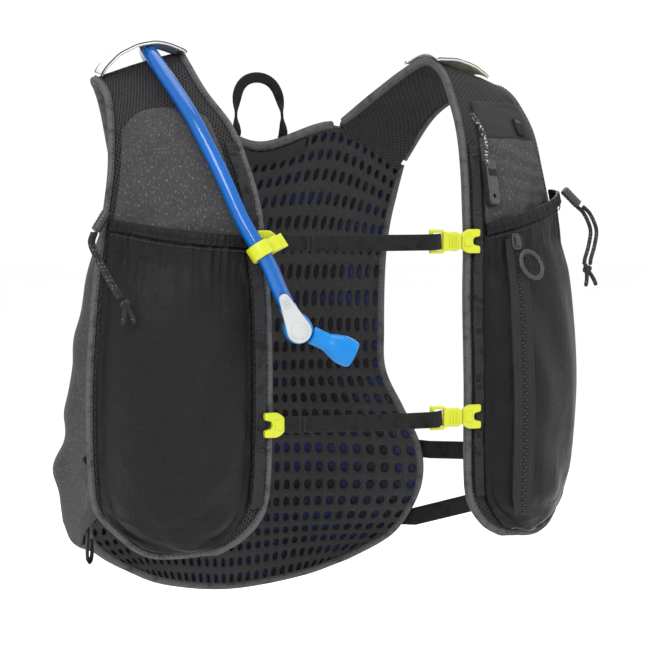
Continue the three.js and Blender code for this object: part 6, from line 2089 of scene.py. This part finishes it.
# Pack sections: place along the back, half width and depth as shares of the pack's own.
PACK_SECTIONS = np.array([
    (0.0, 0.625, 0.0), (0.05, 0.68, 0.45), (0.16, 0.757, 0.78), (0.35, 0.852, 0.93), (0.58, 0.92, 1.0),
    (0.7, 1.0, 1.0), (0.84, 0.99, 0.98), (0.93, 0.918, 0.88), (0.98, 0.852, 0.58), (1.0, 0.795, 0.0),
])


@dataclass
class BackPanel:
    """The spacer mesh against the wearer's back, with its lining, edge tapes, neck patch and grab loop."""

    holes: tuple[int, int] = (33, 24)
    hole_width: float = 0.66
    hole_height: float = 0.62
    depth: float = 0.0028
    lining_lift: float = 0.0040
    patch_width: float = 0.062
    patch_height: float = 0.009
    loop_span: float = 0.034
    loop_height: float = 0.036
    loop_width: float = 0.007
    loop_thickness: float = 0.0018

    def build(self) -> None:
        """Builds the whole panel."""
        beside = EDGE + LAYER_GAP - 0.0024
        self.margins = (beside, beside, beside, beside)
        fixed(self.mesh(), "mesh", "back_mesh")
        self.lining()
        self.tapes()
        self.patch()
        self.shoulder_seams()
        self.grab_loop()

    def place(self, a: Array, b: Array) -> tuple[Array, Array]:
        """Places on the back for shares across and down the panel."""
        return inset_places(BACK, a, b, self.margins)

    def pucker(self, a: Array, b: Array) -> Array:
        """Soft unevenness of the padded back, strongest near its lower edges."""
        edge = np.exp(-(((np.abs(2 * a - 1) - 0.94) / 0.1) ** 2)) * np.clip((b - 0.45) / 0.3, 0, 1)
        soft = np.clip(1 - np.abs(2 * a - 1) ** 10, 0, 1) * np.clip(1 - np.abs(2 * b - 1) ** 16, 0, 1)
        waves = ripple(b * 0.33 + 0.02 * a, 61, 0.022) * edge * 1.3
        return 0.0011 * (waves + 0.45 * ripple(a * 0.2 + b * 0.12, 62, 0.07)) * soft

    def mesh(self) -> bpy.types.Object:
        """The spacer mesh: one closed sheet with a hole through it in every cell."""
        across, along = self.holes
        step = 4
        wide, tall = across * step, along * step
        j, i = np.meshgrid(np.arange(tall + 1), np.arange(wide + 1), indexing="ij")
        on_line = (i % step == 0) | (j % step == 0)
        index = -np.ones(i.shape, int)
        index[on_line] = np.arange(on_line.sum())
        shares = [(i[on_line] / wide, j[on_line] / tall)]
        count = int(on_line.sum())
        around = [(0, 0), (1, 0), (2, 0), (3, 0), (4, 0), (4, 1), (4, 2), (4, 3),
                  (4, 4), (3, 4), (2, 4), (1, 4), (0, 4), (0, 3), (0, 2), (0, 1)]
        turn = np.array([math.atan2(y - 2, x - 2) for x, y in around])
        oval = np.stack([np.cos(turn) * self.hole_width / 2, np.sin(turn) * self.hole_height / 2], axis=1)
        cell_x, cell_y = np.meshgrid(np.arange(across), np.arange(along))
        corner = np.stack([cell_x.ravel(), cell_y.ravel()], axis=1)
        border = np.stack([index[corner[:, 1] * step + y, corner[:, 0] * step + x] for x, y in around], axis=1)
        rings = []
        levels = [(1.0, 0.0), (0.93, 0.0007), (0.93, self.depth)]
        for size, _ in levels:
            spot = corner[:, None] + 0.5 + oval[None] * size
            shares.append(((spot[..., 0] / across).ravel(), (spot[..., 1] / along).ravel()))
            rings.append(count + np.arange(len(corner) * 16).reshape(-1, 16))
            count += len(corner) * 16
        a = np.concatenate([part[0] for part in shares])
        b = np.concatenate([part[1] for part in shares])
        base = int(on_line.sum())
        lift = np.zeros(len(a))
        for k, (_, high) in enumerate(levels):
            lift[base + k * len(corner) * 16: base + (k + 1) * len(corner) * 16] = high
        u, v = self.place(a, b)
        puff = self.pucker(a, b)
        dip = np.zeros(len(a))
        near = np.minimum(a[:base], 1 - a[:base])
        dip[:base] = 0.0005 * np.exp(-((near / 0.02) ** 2))
        front = BACK.lifted(u, v, lift + puff + dip)
        rear = BACK.lifted(u[:base], v[:base], self.depth + puff[:base])
        rear_start = len(front)
        faces = []
        next_spot = np.roll(np.arange(16), -1)
        for low, high in ((border, rings[0]), (rings[0], rings[1]), (rings[1], rings[2]),
                          (rings[2], border + rear_start)):
            quads = np.stack([low, low[:, next_spot], high[:, next_spot], high], axis=-1)
            faces += [tuple(face) for face in quads.reshape(-1, 4).tolist()]
        rim = np.concatenate([index[0, :-1], index[:-1, -1], index[-1, :0:-1], index[:0:-1, 0]])
        after = np.roll(rim, -1)
        quads = np.stack([after, rim, rim + rear_start, after + rear_start], axis=-1)
        faces += [tuple(face) for face in quads.tolist()]
        metres = np.stack([(a - 0.5) * 0.21, b * 0.33], axis=1)
        body = faced_out(Form(np.concatenate([front, rear]), faces, np.concatenate([metres, metres[:base]])))
        return body.object("back_spacer_mesh", Finish.SPACER.material())

    def lining(self) -> None:
        """The dark lining that shows through the holes, with painted blue reflections of the bladder film."""
        a, b = grid_places(60, 90)
        u, v = self.place(a, b)
        puff = self.pucker(a, b)
        outer = BACK.lifted(u, v, self.lining_lift + puff + 0.0006)
        inner = BACK.lifted(u, v, self.lining_lift - 0.0008 + puff)
        piece = slab(inner, outer, cloth_places(outer)).object("back_lining", Finish.BACKING.material())
        fixed(piece, "mesh")

    def tapes(self) -> None:
        """The edge tapes down both sides and round the neck, with their seams."""
        trail = edge_trail(150, 90, 0.004, 0.997)
        line, side_way, face = smooth_rim(BACK, trail, -1, 640)
        self.tape(line, side_way, face, "back_edge_tape", "back_binding")
        u = np.linspace(1 - NECK_SHARE + 0.02, NECK_SHARE - 0.02, 120)
        neck = np.stack([u, np.full_like(u, 0.001)], axis=1)
        line, side_way, face = smooth_rim(BACK, neck, -1, 160)
        middle = BACK.at(np.array(0.5), np.array(0.12)) - line[80]
        if float(np.dot(side_way[80], middle)) < 0:
            side_way, face = -side_way, face
        self.tape(line, side_way, face, "neck_edge_tape", "neck_binding")

    def tape(self, line: Array, side_way: Array, face: Array, name: str, node: str) -> None:
        """One edge tape over the mesh, with a seam on the wearer's side."""
        normal_turn = 1.0
        spot = len(line) // 3
        rearward = np.array([0, 1.0, 0])
        if float(np.dot(face[spot], rearward)) < 0:
            normal_turn = -1.0
        body = faced_out(sweep(line, side_way, face, binding_section(MESH_THICKNESS, normal_turn)))
        fixed(body.object(name, Finish.BINDING.material()), "binding", node)
        near = line + side_way * 0.0036 - face * normal_turn * BINDING_PROUD
        seam = stitches(near, -face * normal_turn, 0.003)
        fixed(seam.object(f"{name}_seam", Finish.THREAD.material()), "binding")

    def patch(self) -> None:
        """The plain patch below the neck edge."""
        a, b = grid_places(60, 12)
        u = 0.5 + (a - 0.5) * self.patch_width / BACK.width(np.array(0.05))
        deep = np.linalg.norm(BACK.along(u, np.zeros_like(u)), axis=-1)
        v = (EDGE + 0.001 + b * self.patch_height) / deep
        rim = (1 - np.abs(2 * a - 1) ** 14) * (1 - np.abs(2 * b - 1) ** 6)
        near = BACK.lifted(u, v, -LAYER_GAP - FABRIC_THICKNESS * (0.4 + 0.6 * rim))
        far = BACK.lifted(u, v, -LAYER_GAP)
        body = faced_out(slab(near, far, cloth_places(near)))
        fixed(body.object("neck_label_blank", Finish.FLAP.material()), "flap", "neck_patch")

    def shoulder_seams(self) -> None:
        """The joins between the back and the two shoulders, covered on both faces."""
        b = np.linspace(0, 1, 25)
        a = np.linspace(0, 1, 41)
        inset = EDGE - 0.002
        rows, faces = [], []
        for share in b:
            if share < 0.5:
                v = np.full_like(a, 1 - (0.5 - share) * 2 * 0.036)
                margin = inset / FRONT.width(v)
                u = margin + a * (1 - 2 * margin)
                rows.append(FRONT.at(u, v))
                faces.append(FRONT.normal(u, v))
            else:
                v = np.full_like(a, (share - 0.5) * 2 * 0.03)
                u = NECK_SHARE + 0.012 + a * (1 - NECK_SHARE - 0.03)
                rows.append(BACK.at(u, v))
                faces.append(BACK.normal(u, v))
        middle, off = np.stack(rows), np.stack(faces)
        for _ in range(5):
            middle[1:-1] = middle[1:-1] * 0.5 + (middle[:-2] + middle[2:]) * 0.25
            off[1:-1] = off[1:-1] * 0.5 + (off[:-2] + off[2:]) * 0.25
        thin = (1 - np.abs(2 * b - 1) ** 6)[:, None, None]
        outer = middle + off * (0.0042 + 0.0012 * thin)
        inner = middle + off * (0.0003 - 0.0009 * thin)
        cover = faced_out(slab(inner, outer, cloth_places(outer)))
        for side in Side:
            piece = cover.turned(side).object(f"shoulder_join_{side.word}", Finish.PAD_MESH.material())
            fixed(piece, "mesh")

    def grab_loop(self) -> None:
        """The webbing loop, its legs turned edge-on below the arch."""
        root_lift = MESH_THICKNESS + BINDING_PROUD + self.loop_thickness
        half = self.loop_span / 2

        def leg(side: int, v: float) -> Array:
            """Point of a leg on the back."""
            low, high = 0.5, 1.0
            for _ in range(24):
                middle = (low + high) / 2
                low, high = (middle, high) if BACK.at(np.array(middle), np.array(v))[0] < half else (low, middle)
            u = low if side > 0 else 1 - low
            return BACK.lifted(np.array(u), np.array(v), root_lift)

        root = leg(1, 0.0)
        turn = np.linspace(0, math.pi, 33)
        rise = self.loop_height * np.clip(np.sin(turn), 0, 1) ** 0.7
        arch = np.stack([-half * np.cos(turn) * (1 + 0.25 * np.sin(turn) ** 2), root[1] + 0.12 * rise,
                         root[2] + rise], axis=1)
        foot = 2 * self.loop_width / BACK_DROP
        points = np.concatenate([[leg(-1, foot)], [leg(-1, foot / 2)], arch, [leg(1, foot / 2)], [leg(1, foot)]])
        line = even_line(points, 120)
        along = tangents(line)
        side_way = unit(np.cross([0, 1.0, 0], along))
        face = unit(np.cross(along, side_way))
        place = np.linspace(0, 1, 120)
        twist = 1.15 * (np.exp(-(((place - 0.2) / 0.07) ** 2)) - np.exp(-(((place - 0.8) / 0.07) ** 2)))
        turned = side_way * np.cos(twist)[:, None] + face * np.sin(twist)[:, None]
        body = sweep(line, turned, unit(np.cross(along, turned)), tape_section(self.loop_width, self.loop_thickness))
        piece = faced_out(body).object("grab_webbing", Finish.WEBBING.material())
        fixed(piece, "webbing", "grab_loop")


@dataclass
class Pack:
    """The pack behind the back panel: its shell, stretch pocket, top zip and the bladder inside."""

    half_width: float = 0.112
    face_depth: float = 0.162
    corner: float = 8.0
    top_drop: float = 0.062
    bottom_rise: float = 0.016
    wall: float = 0.0016
    bladder_clearance: float = 0.0026
    bladder_margin: float = 0.014
    bladder_seat: float = 0.0035
    seam_place: float = 0.66

    def __post_init__(self) -> None:
        """Finds where the pack's top and bottom rows are."""
        middle = np.array(0.5)
        self.ends = (self.top_drop, BACK_DROP - self.bottom_rise)
        self.rows = [float(BACK.v_at_drop(middle, np.array(drop), 0, 1)) for drop in self.ends]

    def point(self, a: Array, b: Array, inward: float = 0.0) -> Array:
        """Points of the pack's skin, or of a skin that lies inside it."""
        half = self.half_width * np.interp(b, PACK_SECTIONS[:, 0], PACK_SECTIONS[:, 1])
        spread = self.rows[1] - self.rows[0]
        trim = inward / (self.ends[1] - self.ends[0])
        v = self.rows[0] + spread * (trim + b * (1 - 2 * trim))
        x = np.abs(a) * (half - inward)
        low, high = np.full(x.shape, 0.5), np.full(x.shape, 1.0)
        for _ in range(18):
            middle = (low + high) / 2
            less = BACK.at(middle, v)[..., 0] < x
            low, high = np.where(less, middle, low), np.where(less, high, middle)
        u = np.where(a < 0, 1 - low, low)
        root = BACK.lifted(u, v, MESH_THICKNESS - self.wall)
        rounded_part = np.clip(1 - np.abs(a) ** self.corner, 0, 1) ** 0.25
        share = np.interp(b, PACK_SECTIONS[:, 0], PACK_SECTIONS[:, 2])
        reach = np.maximum(self.face_depth - inward - root[..., 1], 0)
        found = root.copy()
        found[..., 1] += reach * share * rounded_part
        return found

    def build(self) -> None:
        """Builds the shell, its pocket and trims, and the bladder."""
        bend = np.linspace(-1, 1, 121)
        columns = np.sign(bend) * (1 - (1 - np.abs(bend)) ** 1.9)
        rows = np.linspace(0, 1, 141)
        rows = 0.5 - 0.5 * np.cos(math.pi * rows) * (0.35 + 0.65 * np.abs(np.cos(math.pi * rows)) ** 0.3)
        rows = (rows - rows[0]) / (rows[-1] - rows[0])
        a, b = np.meshgrid(columns, np.sort(rows))
        skin = self.point(a, b)
        out = self.outward(skin)
        rim = np.clip((1 - np.abs(a)) / 0.02, 0, 1) * np.clip(b / 0.05, 0, 1) * np.clip((1 - b) / 0.05, 0, 1)
        seam = np.exp(-(((np.abs(a) - self.seam_place) / 0.012) ** 2))
        yoke = np.exp(-(((b - 0.2) / 0.008) ** 2)) * (np.abs(a) < self.seam_place)
        folds = 0.0016 * ripple(b * 0.3 + a * 0.05, 71, 0.05) + 0.0011 * ripple(a * 0.12 - b * 0.2, 72, 0.033)
        side_folds = 0.0009 * ripple(b * 0.32, 73, 0.045) * np.clip((np.abs(a) - 0.62) / 0.2, 0, 1)
        side = 0.0095 * np.exp(-(((np.abs(a) - 0.95) / 0.12) ** 2)) * np.clip(np.sin(math.pi * b**0.8), 0, 1) ** 0.8
        shift = (folds + side_folds + side - 0.0022 * seam - 0.0018 * yoke) * rim
        outer, inner = skin + out * shift[..., None], skin + out * (shift - 0.0014)[..., None]
        body = faced_out(slab(inner, outer, cloth_places(skin)))
        shell = body.object("pack_shell_cloth", Finish.SHELL.material())
        fixed(shell, "heather", "back_shell")
        wide = float(np.max(cloth_places(skin)[..., 0]) - np.min(cloth_places(skin)[..., 0]))
        float(np.ptp(cloth_places(skin)[..., 1])) * 1.04
        self.seams()
        self.stow_pocket()
        self.bladder()

    def outward(self, grid: Array) -> Array:
        """Directions off a grid of the skin, to the rear and the sides."""
        across, along = np.gradient(grid, axis=1), np.gradient(grid, axis=0)
        out = unit(np.cross(along, across))
        flip = np.sign(np.sum(out * (grid - np.array([0, 0.05, -0.2])), axis=-1, keepdims=True))
        return out * np.where(flip == 0, 1, flip)

    def seams(self) -> None:
        """Seam lines of the side panels and the zip across the top."""
        b = np.linspace(0.09, 0.95, 160)
        threads = []
        for turn in (-1, 1):
            for shift in (-0.022, 0.022):
                line = self.point(np.full_like(b, turn * (self.seam_place + shift)), b) + [0, 0.0012, 0]
                threads.append(stitches(line, np.broadcast_to([0, 1.0, 0], line.shape), 0.0034))
        fixed(merged(threads).object("pack_seams", Finish.THREAD.material()), "heather")
        a = np.linspace(-0.62, 0.62, 160)
        line = self.point(a, np.full_like(a, 0.2)) + [0, 0.0009, 0]
        tape = ribbon_form(line, np.array([0, -0.2, 1.0]), 0.012, 0.0012)
        fixed(tape.object("pack_zip_tape", Finish.FLAP.material()), "trim")
        teeth = ribbon_form(line + [0, 0.0008, 0], np.array([0, -0.2, 1.0]), 0.0028, 0.0012)
        fixed(teeth.object("pack_zip_coil", Finish.BLACK.material()), "trim")
        end = line[12]
        tag = plate_form(rounded([(-0.003, -0.002), (0.018, -0.003), (0.018, 0.003), (-0.003, 0.002)], 0.0014, 4),
                         [], 0.0018, 0.0004)
        pull = placed(tag, end + [0, 0.0026, -0.001], np.array([0.15, 0.0, -1.0]), np.array([0, 1.0, 0]))
        fixed(pull.object("pack_zip_pull", Finish.BLACK.material()), "trim")

    def stow_pocket(self) -> None:
        """The stretch-mesh pocket across the lower rear."""
        a, b = grid_places(80, 60)
        columns = (2 * a - 1) * 0.6
        dip = 0.03 * (1 - np.abs(2 * a - 1) ** 2.4)
        rows = 0.955 - (0.955 - 0.44 - dip) * b
        skin = self.point(columns, rows)
        out = self.outward(skin)
        puff = 0.0012 + 0.004 * np.clip(np.sin(math.pi * a), 0, 1) ** 0.5 * np.clip(b, 0, 1) ** 1.5 \
            * (1 - 0.5 * b) + 0.0009 * ripple(a * 0.12, 81, 0.02) * b
        outer = skin + out * puff[..., None]
        inner = skin + out * (puff - 0.0009)[..., None]
        body = faced_out(slab(inner, outer, cloth_places(outer)))
        piece = body.object("stow_pocket_mesh", Finish.PAD_MESH.material())
        fixed(piece, "mesh")
        places = cloth_places(outer)
        line = outer[-1] + out[-1] * 0.0006
        hem = ribbon_form(line, np.array([0, 0.2, 1.0]), 0.009, 0.0022)
        fixed(hem.object("stow_pocket_hem", Finish.BINDING.material()), "mesh")

    def bladder(self) -> None:
        """The water bladder between the shell and the mesh."""
        a, b = grid_places(48, 64)
        columns = (2 * a - 1) * (1 - self.bladder_margin / self.half_width)
        rows = 0.16 + (0.93 - 0.16) * b
        inward = self.wall + self.bladder_clearance
        rear = self.point(columns, rows, inward)
        low, high = np.full(a.shape, 0.5), np.full(a.shape, 1.0)
        v = BACK.v_at_drop(np.full(a.shape, 0.5), -rear[..., 2], 0, 1)
        for _ in range(18):
            middle = (low + high) / 2
            less = BACK.at(middle, v)[..., 0] < np.abs(rear[..., 0])
            low, high = np.where(less, middle, low), np.where(less, high, middle)
        front = rear.copy()
        front[..., 1] = np.minimum(BACK.lifted(low, v, MESH_THICKNESS + self.bladder_seat)[..., 1],
                                   rear[..., 1] - self.bladder_clearance)
        pillow = np.clip(np.sin(math.pi * a) * np.sin(math.pi * b), 0, 1) ** 0.35
        middle_y = (front[..., 1] + rear[..., 1]) / 2
        front[..., 1] = middle_y + (front[..., 1] - middle_y) * (0.08 + 0.92 * pillow)
        rear[..., 1] = middle_y + (rear[..., 1] - middle_y) * (0.08 + 0.92 * pillow)
        body = faced_out(slab(front, rear, cloth_places(rear)))
        piece = body.object("water_bladder", Finish.FILM.material())
        fixed(piece, "bladder", "reservoir")


def main() -> None:
    """Builds the vest."""
    logging.basicConfig(level=logging.INFO, format="%(message)s")
    right = FlaskPocket(Side.RIGHT, MOUTHS[Side.RIGHT])
    left = FlaskPocket(Side.LEFT, MOUTHS[Side.LEFT])
    for assembly in (Studio(), DrinkTube(), DrawCords(), Whistle(), ShoulderPads(), right, left,
                     ZipLine(right), ChestPanels(), ChestStraps(), SideStraps(), BackPanel(), Pack()):
        log.info("building %s", type(assembly).__name__)
        assembly.build()


if __name__ == "__main__":
    main()
